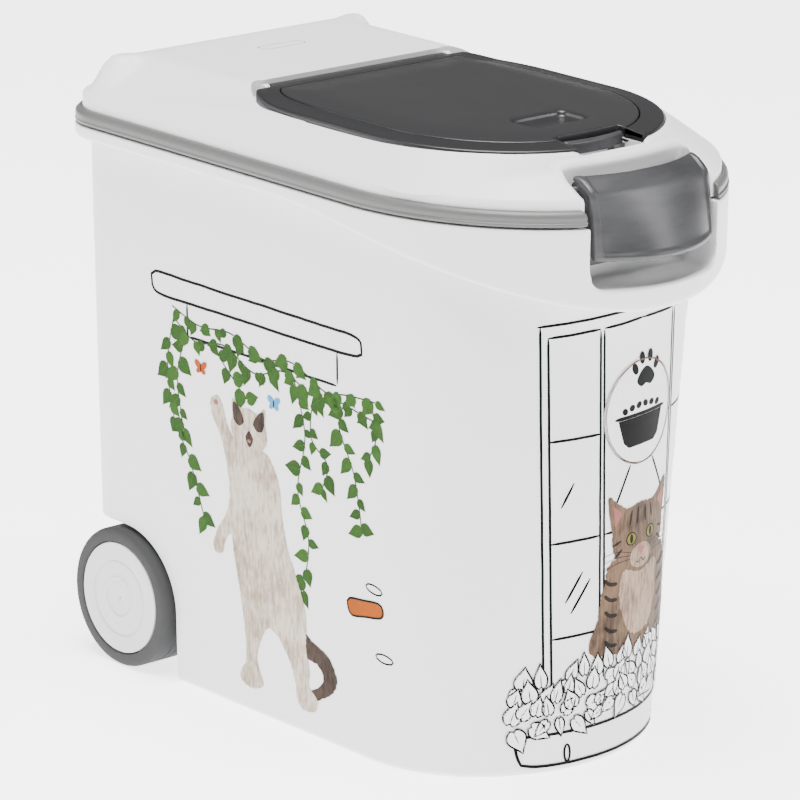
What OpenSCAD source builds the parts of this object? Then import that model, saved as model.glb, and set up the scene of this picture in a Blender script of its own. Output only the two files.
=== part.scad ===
// Wheeled pet food bin with a hinged lid, a dispensing flap and a front latch.
// +X is the latch end, +Z is up. The origin is the middle of the footprint.

/* [Tub] */
// Width of the tub wall at the floor
base_width = 224; // [216:1:230]
// Width of the tub wall at the collar
top_width = 250; // [244:1:254]
// Distance from the origin back to the rear wall
rear_wall = 218; // [215:1:219]
// Distance from the origin to the front of the tub at the floor
base_front = 169.6; // [165:0.1:172]
// Distance from the origin to the front of the tub at the collar
top_front = 180; // [177:0.5:182]
// Height of the collar deck that the lid closes onto
deck_z = 380; // [378:1:381]
// Thickness of the moulded walls
wall = 2.5; // [2.2:0.1:2.8]

/* [Collar] */
// Width over the collar and the grip band
collar_width = 275.6; // [272:0.1:278]
// Distance from the origin back to the collar
collar_rear = 229.6; // [228:0.1:230.2]
// Distance from the origin to the front of the nose
collar_front = 223; // [220:0.5:225]
// How much lower the collar edge is at the nose than at the rear
nose_drop = 50; // [44:1:54]

/* [Lid] */
// Height of the closed lid over the floor
overall_height = 425; // [424:0.5:427]
// Height of the grip band
band_height = 9.7; // [9:0.1:10]

/* [Flap] */
// Width of the dispensing flap
flap_width = 217; // [212:1:218]
// Distance from the origin back to the rear edge of the flap
flap_rear = 79; // [77:0.5:80]
// Distance from the origin to the front tip of the flap
flap_front = 172; // [170:0.5:173]

/* [Latch] */
// Width of the latch handle
latch_width = 104; // [98:1:106]
// Height of the lower edge of the latch handle
latch_bottom = 358; // [354:1:362]

/* [Wheels] */
// Radius of the wheels
wheel_radius = 49; // [47:0.5:50]
// Width of each wheel
wheel_width = 36; // [30:1:38]
// Distance between the outer faces of the two wheels
wheel_span = 244.4; // [240:0.1:248]
// Diameter of the steel axle
axle_diameter = 8; // [7:0.5:9]

/* [Hidden] */

$fn = 64;
clear = 0.3;
running_gap = 0.05;
far = 400;

// Tub
wall_full_z = 360;
base_fillet = 5;
rear_corner = 25;
base_taper_start = base_front - 97;
top_taper_start = top_front - 81;
rim_z = deck_z + 4;

// Collar, lid outline
half_collar = collar_width / 2;
collar_corner = 40;
nose_start = 70;
collar_low_z = 371;
drop_start = -2;

// Finger pocket under the latch
pocket_half = 56;
pocket_floor = 339;
pocket_back = 187;
pocket_round = 12;

// Wheels and axle
wheel_x = -176;
arch_radius = wheel_radius + 3;
arch_front = wheel_x + arch_radius;
step_z = wheel_radius + arch_radius + 1;
half_span = wheel_span / 2;
core_radius = wheel_radius - 9.5;
bearing_radius = 11;
bracket_y = 74;
bracket_width = 23;

// Lid
band_bottom = deck_z + 1.3;
band_top = band_bottom + band_height;
band_depth = 5.2;
hinge_x = -226;
hinge_z = 387;
hinge_radius = 4.2;
hinge_y = 70;
hinge_pin = 4;
cheek_width = 5;
barrel_length = 13.4;
rib_z = rim_z + 4.2;

// Flap
half_flap = flap_width / 2;
flap_nose = 60;
flap_corner = 30;
flap_seat = overall_height - 10.7;
flap_hinge_x = -flap_rear + 4.5;
flap_hinge_z = overall_height - 5;
flap_barrel = 3.2;
lug_inner = 78.2;
lug_round = 3.5;
notch_half = 28.8;
notch_x = 145;
frame_width = 17;
catch_x = 153;
catch_z = 405;

// Latch
half_latch = latch_width / 2;
latch_x = 190;
latch_z = 401;
latch_barrel = 4.2;
latch_pin_d = 4;
recess_half = 55;

function mix(a, b, t) = a + (b - a) * t;
function smooth(t) = let (u = max(0, min(1, t))) u * u * (3 - 2 * u);

// Plan outline: square rear with round corners, straight sides, elliptic front
function half_outline(w, s, f, r, c) = concat(
    [for (k = [0:4]) let (a = 22.5 * k) [-r + c - c * cos(a), -w + c - c * sin(a)]],
    [for (k = [1:3]) [mix(-r + c, s, k / 4), -w]],
    [for (k = [0:13]) let (a = 90 * k / 13.5) [s + (f - s) * sin(a), -w * cos(a)]]
);
function outline(w, s, f, r, c) = let (h = half_outline(w, s, f, r, c)) concat(
    h, [for (k = [len(h) - 1:-1:0]) [h[k][0], -h[k][1]]]
);
function level(shape, z) = [for (p = shape) [p[0], p[1], z]];

function tub_outline(z, inset) = let (t = z / wall_full_z) outline(
    mix(base_width, top_width, t) / 2 - inset,
    mix(base_taper_start, top_taper_start, t),
    mix(base_front, top_front, t) - inset,
    rear_wall - inset,
    rear_corner - inset
);
function tub_ring(z, inset) = level(tub_outline(z, inset), z);

function collar_outline(inset) = outline(
    half_collar - inset, nose_start, collar_front - inset, collar_rear - inset, collar_corner - inset
);
function drop(x) = nose_drop * pow(max(0, x - drop_start) / (collar_front - drop_start), 1.8);
function collar_edge(inset, up) = [
    for (p = collar_outline(inset)) [p[0], p[1], collar_low_z + up - drop(p[0])]
];

// Height of the lid skin: a level crown that falls away to the rim and the nose
function lid_fall(x) = 6 * smooth((x - 90) / 110);
function rear_inset(inset) = inset < 10 ? inset : 10 + 0.58 * (inset - 10);
function lid_outline(inset) = outline(
    half_collar - inset, nose_start, collar_front - inset, collar_rear - rear_inset(inset),
    max(6, collar_corner - rear_inset(inset))
);
function lid_ring(inset, z, fall) = [
    for (p = lid_outline(inset)) [p[0], p[1], z - fall * lid_fall(p[0])]
];

function flap_outline(inset) = outline(
    half_flap - inset, flap_nose, flap_front - inset, flap_rear - inset, flap_corner - inset / 2
);
function flap_ring(inset, z) = level(flap_outline(inset), z);

// Closed solid through a stack of rings that all have the same number of points
module loft(rings) {
    n = len(rings[0]);
    last = (len(rings) - 1) * n;
    sides = [for (j = [0:len(rings) - 2], i = [0:n - 1]) let (a = j * n + i, b = j * n + (i + 1) % n)
        each [[a, b + n, b], [a, a + n, b + n]]];
    floor_strips = [for (i = [0:n / 2 - 2]) [i, i + 1, n - 2 - i, n - 1 - i]];
    top_strips = [for (i = [0:n / 2 - 2]) [last + n - 1 - i, last + n - 2 - i, last + i + 1, last + i]];
    polyhedron([for (ring = rings) each ring], concat(sides, floor_strips, top_strips), convexity = 6);
}

module block(x, y, z) {
    translate([x[0], y[0], z[0]]) cube([x[1] - x[0], y[1] - y[0], z[1] - z[0]]);
}

module across(radius, y0, y1) {
    translate([0, y1, 0]) rotate([90, 0, 0]) cylinder(r = radius, h = y1 - y0);
}

module prism(shape, z0, z1) {
    translate([0, 0, z0]) linear_extrude(z1 - z0) polygon(shape);
}

module mirrored_y(side) {
    if (side < 0) children();
    else mirror([0, 1, 0]) children();
}

// ---------- Tub ----------

module wheel_step(extra) {
    translate([0, far / 2, 0]) rotate([90, 0, 0]) linear_extrude(far) union() {
        translate([wheel_x, wheel_radius]) circle(arch_radius + extra);
        translate([-far, -far]) square([far + arch_front + extra, far + wheel_radius]);
        translate([-far, -far]) square([far + wheel_x, far + step_z + extra]);
    }
}

module pocket(grow, x0) {
    half = pocket_half + grow;
    low = pocket_floor - grow;
    r = pocket_round + grow;
    translate([x0, 0, 0]) rotate([90, 0, 90]) linear_extrude(60) union() {
        translate([-half, low + r]) square([2 * half, 60]);
        translate([-half + r, low]) square([2 * (half - r), 60]);
        for (s = [-1, 1]) translate([s * (half - r), low + r]) circle(r);
    }
}

module tub_wall() {
    loft([
        tub_ring(0, base_fillet), tub_ring(base_fillet * 0.3, base_fillet * 0.3),
        tub_ring(base_fillet, 0), tub_ring(rim_z, 0)
    ]);
}

module tub_cavity() {
    loft([
        tub_ring(wall, base_fillet + wall), tub_ring(base_fillet + wall, wall),
        tub_ring(rim_z + 1, wall)
    ]);
}

module collar_solid() {
    loft([
        collar_edge(4, 0), collar_edge(1.2, 1.2), collar_edge(0, 4), level(collar_outline(0), deck_z)
    ]);
}

module tub() {
    color("whitesmoke") difference() {
        union() {
            tub_wall();
            block([pocket_back - 1, pocket_back + 0.5], [-38, 38], [356, 358]);
            difference() {
                collar_solid();
                difference() {
                    prism(collar_outline(wall), 300, deck_z - wall);
                    pocket(wall, pocket_back - wall);
                }
            }
        }
        difference() {
            tub_cavity();
            wheel_step(wall);
        }
        wheel_step(0);
        difference() {
            pocket(0, pocket_back);
            tub_wall();
            block([pocket_back - 1, pocket_back + 0.5], [-38, 38], [356, 358]);
        }
    }
}

module hinge_bracket(side) {
    color("whitesmoke") mirrored_y(side) translate([0, -hinge_y, 0]) difference() {
        for (s = [-1, 1]) {
            y0 = s < 0 ? -barrel_length / 2 - clear - cheek_width : barrel_length / 2 + clear;
            translate([hinge_x, 0, hinge_z]) across(hinge_radius, y0, y0 + cheek_width);
            block([hinge_x - 3, hinge_x + 3], [y0, y0 + cheek_width], [deck_z, hinge_z]);
        }
        translate([hinge_x, 0, hinge_z]) across(hinge_pin / 2 + running_gap, -20, 20);
    }
}
module hinge_bracket_left() { hinge_bracket(-1); }
module hinge_bracket_right() { hinge_bracket(1); }

// ---------- Axle and wheels ----------

module axle_bracket(side) {
    foot = 10;
    outer = -bracket_y - bracket_width / 2;
    inner = -bracket_y + bracket_width / 2;
    color("whitesmoke") mirrored_y(side) difference() {
        union() {
            translate([wheel_x, 0, wheel_radius]) across(bearing_radius, outer, inner);
            block([wheel_x - 7, wheel_x + 7], [outer, inner], [wheel_radius, step_z - 0.9]);
            block([wheel_x - 16, wheel_x + 16], [-bracket_y - foot, -bracket_y + foot],
                [step_z - 5, step_z - 0.9]);
        }
        translate([wheel_x, 0, wheel_radius]) across(axle_diameter / 2, -far, far);
        translate([wheel_x, 0, wheel_radius]) difference() {
            across(far / 4, -far, far);
            across(arch_radius, -far - 1, far + 1);
        }
    }
}
module axle_bracket_left() { axle_bracket(-1); }
module axle_bracket_right() { axle_bracket(1); }

module axle_rod() {
    color("silver") translate([wheel_x, 0, wheel_radius])
        across(axle_diameter / 2, -half_span + 6, half_span - 6);
}

module turned(profile) {
    rotate([90, 0, 0]) rotate_extrude($fn = 96) polygon(profile);
}

module tyre(side) {
    color("dimgray") mirrored_y(side) translate([wheel_x, -half_span + wheel_width, wheel_radius]) turned([
        [core_radius, 0], [wheel_radius - 2, 0], [wheel_radius, 2],
        [wheel_radius, wheel_width - 2], [wheel_radius - 2, wheel_width], [core_radius, wheel_width]
    ]);
}
module tyre_left() { tyre(-1); }
module tyre_right() { tyre(1); }

module wheel_core(side) {
    bore = axle_diameter / 2 + running_gap;
    web = 12;
    color("lightgray") mirrored_y(side) translate([wheel_x, -half_span + wheel_width, wheel_radius]) turned([
        [bore, 0], [bearing_radius, 0], [bearing_radius, web], [core_radius - 4, web], [core_radius - 4, 0],
        [core_radius, 0], [core_radius, wheel_width - 4], [core_radius - 4, wheel_width - 4],
        [core_radius - 4, web + 3], [bearing_radius, web + 3], [bearing_radius, wheel_width - 14],
        [bore, wheel_width - 14]
    ]);
}
module wheel_core_left() { wheel_core(-1); }
module wheel_core_right() { wheel_core(1); }

module hub_cap(side) {
    rim = core_radius - clear;
    color("gainsboro") mirrored_y(side) translate([wheel_x, -half_span + wheel_width, wheel_radius]) turned([
        [0, wheel_width - 3], [rim - 4, wheel_width - 3], [rim - 4, wheel_width - 4], [rim, wheel_width - 4],
        [rim, wheel_width - 1], [rim - 1, wheel_width], [27, wheel_width], [26, wheel_width - 0.6],
        [15.5, wheel_width - 0.6], [14.5, wheel_width + 0.6], [13.4, wheel_width + 0.6],
        [12.4, wheel_width - 0.6], [2, wheel_width - 0.6], [1, wheel_width - 1], [0, wheel_width - 1]
    ]);
}
module hub_cap_left() { hub_cap(-1); }
module hub_cap_right() { hub_cap(1); }

module axle_clip(side) {
    start = wheel_width - 13.6;
    color("silver") mirrored_y(side) translate([wheel_x, -half_span + wheel_width, wheel_radius]) turned([
        [axle_diameter / 2, start], [axle_diameter / 2 + 5, start], [axle_diameter / 2 + 5, start + 1],
        [axle_diameter / 2 + 1.5, start + 4], [axle_diameter / 2, start + 4]
    ]);
}
module axle_clip_left() { axle_clip(-1); }
module axle_clip_right() { axle_clip(1); }

// ---------- Lid ----------

module lid_skin(inset, down) {
    crown = overall_height - down;
    loft([
        lid_ring(band_depth + inset, band_bottom + 0.5 - down, 0),
        lid_ring(band_depth + inset, band_top + 4 - down / 2, 0),
        lid_ring(band_depth + 2.5 + inset, band_top + 7 - down, 0.1),
        lid_ring(20 + inset, overall_height - 18.5 - down, 0.5),
        lid_ring(33 + inset, overall_height - 8.5 - down, 0.9),
        lid_ring(43 + inset, overall_height - 2 - down, 1),
        lid_ring(53 + inset, crown, 1)
    ]);
}

module recess_space() {
    difference() {
        block([150, 260], [-recess_half, recess_half], [360, 440]);
        prism(tub_outline(deck_z, -4.5), 350, 450);
    }
}

module hinge_relief() {
    half = barrel_length / 2 + clear + cheek_width + 0.5;
    for (s = [-1, 1])
        block([-far, -221], [s * hinge_y - half, s * hinge_y + half], [deck_z - 3, band_top + 1.4]);
}

module lid_ribs() {
    difference() {
        prism(tub_outline(deck_z, -1), rib_z, 440);
        prism(tub_outline(deck_z, 3.5), rib_z - 1, 441);
    }
    for (s = [-1, 1]) {
        y = s * (recess_half + wall / 2);
        block([168, 260], [y - wall / 2, y + wall / 2], [band_bottom + 0.5, 440]);
    }
    for (s = [-1, 1])
        block([catch_x - 5, catch_x + 5], [s * 30 - 2, s * 30 + 2], [catch_z - 5, flap_seat]);
}

module flap_opening() {
    difference() {
        prism(flap_outline(frame_width - 1), 380, 440);
        block([notch_x - 8, 200], [-notch_half - 7, notch_half + 7], [370, 450]);
    }
}

module lid_shell() {
    trough = [-flap_rear - 1.5, -flap_rear + 12];
    color("whitesmoke") difference() {
        union() {
            difference() {
                lid_skin(0, 0);
                difference() {
                    lid_skin(wall, wall);
                    prism(flap_outline(-3), flap_seat - wall - 0.5, 440);
                    block([trough[0] - 3, trough[1]], [-88, 88], [flap_seat - 9, 440]);
                }
            }
            intersection() {
                lid_ribs();
                lid_skin(0.5, 0.5);
            }
            for (s = [-1, 1]) {
                translate([hinge_x, 0, hinge_z])
                    across(hinge_radius, s * hinge_y - barrel_length / 2, s * hinge_y + barrel_length / 2);
                block([hinge_x, -219], [s * hinge_y - barrel_length / 2, s * hinge_y + barrel_length / 2],
                    [hinge_z - 2, hinge_z + hinge_radius]);
            }
        }
        difference() {
            hinge_relief();
            for (s = [-1, 1])
                block([hinge_x - 6, -220], [s * hinge_y - barrel_length / 2, s * hinge_y + barrel_length / 2],
                    [hinge_z - 5, band_top + 2]);
        }
        translate([hinge_x, 0, hinge_z]) across(hinge_pin / 2, -hinge_y - 20, hinge_y + 20);
        recess_space();
        prism(tub_outline(deck_z, -0.6), 370, rim_z + clear);
        prism(flap_outline(-0.6), flap_seat, 440);
        block([trough[0], trough[1] - 3], [-78.5, 78.5], [flap_seat - 5.5, 440]);
        flap_opening();
        block([catch_x - 7, catch_x + 8], [-27.6, 27.6], [flap_seat - 10, 440]);
        translate([flap_hinge_x, 0, flap_hinge_z]) across(hinge_pin / 2, -84, 84);
        translate([catch_x, 0, catch_z]) across(1.5, -33, 33);
        translate([latch_x, 0, latch_z]) across(latch_pin_d / 2, -recess_half - 3, recess_half + 3);
    }
    color("whitesmoke") for (s = [-1, 1]) difference() {
        union() {
            block([flap_hinge_x - lug_round, flap_hinge_x + lug_round],
                [s * (lug_inner + 2) - 2, s * (lug_inner + 2) + 2], [flap_seat - 0.5, flap_hinge_z]);
            translate([flap_hinge_x, 0, flap_hinge_z])
                across(lug_round, s * (lug_inner + 2) - 2, s * (lug_inner + 2) + 2);
        }
        translate([flap_hinge_x, 0, flap_hinge_z]) across(hinge_pin / 2, -90, 90);
    }
}

module grip_band() {
    color("darkgray") difference() {
        loft([
            level(collar_outline(1), band_bottom), level(collar_outline(0), band_bottom + 1),
            level(collar_outline(0), band_top - 3), level(collar_outline(1.8), band_top - 0.6),
            level(collar_outline(3.4), band_top)
        ]);
        prism(collar_outline(band_depth), band_bottom - 1, band_top + 1);
        block([150, 260], [-recess_half - wall, recess_half + wall], [360, 440]);
        hinge_relief();
    }
}

module lid_gasket() {
    color("darkgray") difference() {
        prism(tub_outline(deck_z, -1), rim_z + 0.3, rib_z);
        prism(tub_outline(deck_z, 3.5), rim_z - 1, rib_z + 1);
    }
}

module lid_pin(side) {
    half = barrel_length / 2 + clear + cheek_width;
    color("silver") mirrored_y(side) translate([hinge_x, -hinge_y, hinge_z])
        across(hinge_pin / 2, -half, half);
}
module lid_pin_left() { lid_pin(-1); }
module lid_pin_right() { lid_pin(1); }

// ---------- Dispensing flap ----------

module flap_notch(grow) {
    block([notch_x - grow, 200], [-notch_half - grow, notch_half + grow], [380, 450]);
}

module flap_crown() {
    loft([
        flap_ring(0.5, flap_seat + clear), flap_ring(0, flap_seat + 1), flap_ring(0, flap_seat + 4.5),
        flap_ring(1.5, flap_seat + 6.2), flap_ring(9, flap_seat + 8), flap_ring(24, overall_height - 1.6),
        flap_ring(48, overall_height - 1)
    ]);
}

module flap_frame() {
    color("dimgray") difference() {
        union() {
            difference() {
                flap_crown();
                prism(flap_outline(frame_width), 400, 440);
            }
            translate([flap_hinge_x, 0, flap_hinge_z]) across(flap_barrel, -77.8, -60);
            translate([flap_hinge_x, 0, flap_hinge_z]) across(flap_barrel, 60, 77.8);
        }
        flap_notch(0);
        for (s = [-1, 1]) {
            corner = s < 0 ? [-far, -lug_inner + clear] : [lug_inner - clear, far];
            block([-far, flap_hinge_x + 4], corner, [400, 440]);
            translate([flap_hinge_x, 0, flap_hinge_z])
                across(hinge_pin / 2 + running_gap, s * 72 - 8, s * 72 + 8);
        }
    }
}

module flap_panel() {
    color("darkslategray") difference() {
        union() {
            intersection() {
                flap_crown();
                prism(flap_outline(frame_width), flap_seat + 5.5, 440);
            }
            block([notch_x - 3, notch_x], [-notch_half, notch_half], [flap_seat + 1.5, flap_seat + 6]);
        }
        flap_notch(0);
        block([97, 125], [-24.5, 24.5], [overall_height - 3.2, 440]);
    }
}

module flap_seal() {
    color("gray") difference() {
        prism(flap_outline(frame_width + 0.4), flap_seat - 4, flap_seat + 5.5);
        prism(flap_outline(frame_width + 2.6), flap_seat - 5, flap_seat + 6);
        block([notch_x - 9, 200], [-notch_half - 8, notch_half + 8], [370, 450]);
    }
}

module flap_pin(side) {
    color("silver") mirrored_y(side) translate([flap_hinge_x, 0, flap_hinge_z])
        across(hinge_pin / 2, -82.2, -66);
}
module flap_pin_left() { flap_pin(-1); }
module flap_pin_right() { flap_pin(1); }

module flap_catch() {
    top = flap_seat + 6;
    bow = 110;
    color("gray") difference() {
        union() {
            intersection() {
                translate([catch_x + 3 - bow, 0, catch_z + 6]) difference() {
                    cylinder(r = bow, h = top - catch_z - 6, $fn = 180);
                    translate([0, 0, -1]) cylinder(r = bow - 5, h = 60, $fn = 180);
                }
                block([catch_x - 10, catch_x + 10], [-26, 26], [400, 440]);
            }
            for (s = [-1, 1]) {
                translate([catch_x, 0, catch_z]) across(3.5, s * 20 - 5, s * 20 + 5);
                block([catch_x - 2, catch_x + 2], [s * 20 - 5, s * 20 + 5], [catch_z, catch_z + 9]);
            }
        }
        translate([catch_x, 0, catch_z]) across(1.5 + running_gap, -30, 30);
    }
}

module catch_pin() {
    color("silver") translate([catch_x, 0, catch_z]) across(1.5, -32, 32);
}

// ---------- Latch ----------

// Plan section of a bowed plate: front at x in the middle, set back by sag at the sides
function bow_ring(x, sag, thick, half, z) = concat(
    [for (k = [0:12]) let (y = mix(-half, half, k / 12)) [x - sag * pow(y / half, 2), y, z]],
    [for (k = [12:-1:0]) let (y = mix(-half, half, k / 12)) [x - thick - sag * pow(y / half, 2), y, z]]
);

module latch_handle() {
    ridge_z = 399.5;
    top_z = 409;
    cheek = 3;
    color("gray") difference() {
        union() {
            loft([
                bow_ring(227.5, 19.5, 3, half_latch, latch_bottom),
                bow_ring(229.6, 20, 4.5, half_latch, latch_bottom + 2),
                bow_ring(228, 19.5, 3.4, half_latch, latch_bottom + 5),
                bow_ring(219.5, 13.5, 3.4, half_latch, 382), bow_ring(211.5, 8.5, 3.6, half_latch, ridge_z),
                bow_ring(208, 9, 4.4, half_latch, ridge_z + 4), bow_ring(200.8, 12.4, 4, half_latch, top_z)
            ]);
            for (s = [-1, 1]) {
                translate([latch_x, 0, latch_z])
                    across(latch_barrel, s * (half_latch - cheek) - cheek, s * (half_latch - cheek) + cheek);
                block([latch_x, 201.5], [s * (half_latch - 2) - 2, s * (half_latch - 2) + 2],
                    [latch_z - 4, latch_z + 2]);
            }
        }
        translate([latch_x, 0, latch_z]) across(latch_pin_d / 2 + running_gap, -60, 60);
    }
}

module latch_hook() {
    color("dimgray") difference() {
        union() {
            translate([latch_x, 0, latch_z]) across(latch_barrel, -45.6, 45.6);
            block([latch_x - 1, latch_x + 2], [-45, 45], [350, latch_z]);
            block([latch_x - 2.2, latch_x - 1], [-40, 40], [351, 354]);
            for (y = [-30, 0, 30]) block([latch_x, 200], [y - 1.2, y + 1.2], [372, latch_z - 2]);
        }
        translate([latch_x, 0, latch_z]) across(latch_pin_d / 2 + running_gap, -60, 60);
    }
}

module latch_pin() {
    color("silver") translate([latch_x, 0, latch_z])
        across(latch_pin_d / 2, -recess_half - 2, recess_half + 2);
}

tub();
hinge_bracket_left();
hinge_bracket_right();
axle_bracket_left();
axle_bracket_right();
axle_rod();
tyre_left();
tyre_right();
wheel_core_left();
wheel_core_right();
hub_cap_left();
hub_cap_right();
axle_clip_left();
axle_clip_right();
lid_shell();
grip_band();
lid_gasket();
lid_pin_left();
lid_pin_right();
flap_frame();
flap_panel();
flap_seal();
flap_pin_left();
flap_pin_right();
flap_catch();
catch_pin();
latch_handle();
latch_hook();
latch_pin();
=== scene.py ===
import math
import random

import bmesh
import bpy
from mathutils import Matrix, Vector


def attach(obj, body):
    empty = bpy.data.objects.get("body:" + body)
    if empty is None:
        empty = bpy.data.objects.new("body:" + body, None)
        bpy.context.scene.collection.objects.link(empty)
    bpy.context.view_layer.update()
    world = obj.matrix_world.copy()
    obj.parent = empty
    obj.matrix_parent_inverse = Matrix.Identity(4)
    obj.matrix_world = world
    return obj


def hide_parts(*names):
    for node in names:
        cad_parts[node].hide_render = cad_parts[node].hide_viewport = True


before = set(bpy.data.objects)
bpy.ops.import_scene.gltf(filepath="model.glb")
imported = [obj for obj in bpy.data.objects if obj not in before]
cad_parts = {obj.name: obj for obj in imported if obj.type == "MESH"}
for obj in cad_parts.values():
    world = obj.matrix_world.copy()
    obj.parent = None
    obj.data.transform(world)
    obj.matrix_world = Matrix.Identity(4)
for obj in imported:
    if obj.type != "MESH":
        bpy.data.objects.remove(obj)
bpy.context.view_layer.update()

bl_info = {
    "name": "Pet food bin",
    "version": (1, 0, 0),
    "blender": (4, 5, 0),
    "location": "View3D > Sidebar > Food bin",
    "description": "Shapes, prints and finishes of a wheeled pet food bin",
    "category": "Object",
}


# ---------- Shared numbers, in millimetres ----------

MM = 0.001
WALL = 2.5
COLLAR_HALF = 137.8
COLLAR_FRONT = 223.0
COLLAR_REAR = -229.6
DECK_Z = 380.0
TUB_RIM_Z = 384.0
POCKET_HALF = 56.0
POCKET_BACK = 187.0
POCKET_EDGE = POCKET_HALF + 1.5
RECESS_HALF = 55.0
RECESS_EDGE = RECESS_HALF + 4
RECESS_BOW = (130.2, 84.6, 100.5)
BAND_LOW = 381.3
BAND_HIGH = 391.0
LID_LOW = 381.8
LID_INSET = 5.2
CROWN_Z = 425.0
SEAT_Z = 414.3
FLAP_HINGE = (-74.5, 420.0)
CATCH_AXIS = (153.0, 405.0)
LATCH_AXIS = (190.0, 401.0)
WHEEL_AXIS = (-176.0, 49.0)
NOTCH_HALF = 28.8
NOTCH_X = 145.0
PLATE_X = -152.0
PLATE_SIZE = (5.2, 19.0)
PLATE_EDGE = (
    (0.4, -1.0), (0.4, -0.45), (0.15, -0.15), (-0.3, 0.0), (-0.9, 0.0), (-1.2, -0.2), (-1.6, -0.25),
)
FLAP_BOW = (108.5, 112.0, 60.0)
SIDES = ((-1, "left"), (1, "right"))


def mix(a, b, t):
    return a + (b - a) * t


def ease(t):
    t = max(0.0, min(1.0, t))
    return t * t * (3 - 2 * t)


def soft_min(a, b, width):
    near = max(width - abs(a - b), 0.0) / width
    return min(a, b) - near * near * width / 4


def steps(a, b, count):
    """Evenly spaced numbers after a, up to and with b."""
    return [mix(a, b, (k + 1) / count) for k in range(count)]


# ---------- Plan outlines ----------
# An outline has straight sides, elliptic rear corners and an elliptic front.
# A station names a place on it, so that outlines of different sizes correspond.

def plan(half, start, front, rear, corner, corner_across=None):
    return {
        "half": half,
        "start": start,
        "front": front,
        "rear": rear,
        "corner": corner,
        "across": corner if corner_across is None else corner_across,
    }


def tub_plan(z, inset=0.0):
    t = z / 360.0
    return plan(
        112 + 13 * t - inset,
        72.6 + 26.4 * t,
        169.6 + 10.4 * t - inset,
        -218 + inset,
        max(2.0, 25 - inset),
    )


def collar_plan(inset=0.0):
    return plan(COLLAR_HALF - inset, 70, COLLAR_FRONT - inset, COLLAR_REAR + inset, 40 - inset)


def flap_plan(inset=0.0):
    along = max(5.0, 77 - inset)
    across = max(5.0, 30 - inset * 0.8)
    return plan(108.5 - inset, 60, 172 - inset, -79 + inset, along, across)


def on_plan(station, shape, front_half):
    """Plan place of a station, with y counted outwards from the middle."""
    kind, value = station
    half = shape["half"]
    reach = shape["front"] - shape["start"]
    if kind == "front":
        return shape["start"] + reach * math.sqrt(max(0.0, 1 - (value / half) ** 2)), value
    if kind == "bow":
        first = math.asin(min(1.0, front_half / half))
        angle = mix(first, math.pi / 2, value)
        return shape["start"] + reach * math.cos(angle), half * math.sin(angle)
    back = shape["rear"] + shape["corner"]
    if kind == "side":
        return mix(shape["start"], back, value), half
    if kind == "corner":
        angle = value * math.pi / 2
        y = half - shape["across"] * (1 - math.cos(angle))
        return back - shape["corner"] * math.sin(angle), y
    return shape["rear"], (half - shape["across"]) * (1 - value)


def stations(front_values, bow=44, side=26, corner=14, rear=12):
    """Stations of one half, from the middle of the front to the middle of the rear."""
    found = [("front", y) for y in front_values]
    found += [("bow", k / bow) for k in range(bow)]
    found += [("side", k / side) for k in range(side)]
    found += [("corner", k / corner) for k in range(corner)]
    found += [("rear", k / rear) for k in range(rear + 1)]
    return found


def both_sides(columns):
    """Mirrors the columns of the -Y half to close the loop round the bin."""
    near = [[(x, -y, z) for x, y, z in column] for column in columns]
    far = [[(x, y, z) for x, y, z in column] for column in columns[::-1]]
    return near + far


# ---------- Meshes ----------

def mesh_from(name, points, faces, sharp=30.0):
    """Mesh object in metres from points in millimetres; points at one place become one."""
    places = {}
    kept = []
    order = []
    for point in points:
        key = tuple(round(c, 3) for c in point)
        if key not in places:
            places[key] = len(kept)
            kept.append([c * MM for c in point])
        order.append(places[key])
    clean = []
    seen = set()
    for face in faces:
        loop = []
        for corner in face:
            if not loop or loop[-1] != order[corner]:
                loop.append(order[corner])
        if len(loop) > 1 and loop[0] == loop[-1]:
            loop.pop()
        mark = frozenset(loop)
        if len(loop) > 2 and len(mark) == len(loop) and mark not in seen:
            seen.add(mark)
            clean.append(loop)
    mesh = bpy.data.meshes.new(name)
    mesh.from_pydata(kept, [], clean)
    tidy_mesh(mesh, sharp)
    piece = bpy.data.objects.new(name, mesh)
    bpy.context.scene.collection.objects.link(piece)
    return piece


def tidy_mesh(mesh, sharp):
    work = bmesh.new()
    work.from_mesh(mesh)
    loose = [vertex for vertex in work.verts if not vertex.link_faces]
    bmesh.ops.delete(work, geom=loose, context="VERTS")
    bmesh.ops.recalc_face_normals(work, faces=work.faces)
    work.to_mesh(mesh)
    work.free()
    mesh.validate()
    mesh.shade_smooth()
    mesh.set_sharp_from_angle(angle=math.radians(sharp))


def columns_to_faces(columns, around=True, along=False, caps=False):
    """Quads between neighbouring columns; around closes the loop, along closes each column."""
    rows = len(columns[0])
    count = len(columns)
    points = [point for column in columns for point in column]
    faces = []
    for i in range(count if around else count - 1):
        a = i * rows
        b = (i + 1) % count * rows
        for j in range(rows if along else rows - 1):
            k = (j + 1) % rows
            faces.append([a + j, b + j, b + k, a + k])
    if caps and around:
        faces.append([i * rows for i in range(count)])
        faces.append([i * rows + rows - 1 for i in range(count)])
    if caps and not around:
        faces.append(list(range(rows)))
        faces.append([(count - 1) * rows + j for j in range(rows)])
    return points, faces


def column_piece(name, columns, around=True, along=False, caps=False, sharp=30.0):
    points, faces = columns_to_faces(columns, around, along, caps)
    return mesh_from(name, points, faces, sharp)


def lathe(name, profile, centre, sign, segments=96, sharp=35.0):
    """Turns a profile of (radius, distance outwards) about a line along Y."""
    columns = []
    for k in range(segments):
        angle = 2 * math.pi * k / segments
        columns.append([
            (centre[0] + r * math.cos(angle), sign * y, centre[1] + r * math.sin(angle))
            for r, y in profile
        ])
    return column_piece(name, columns, True, True, False, sharp)


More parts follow.
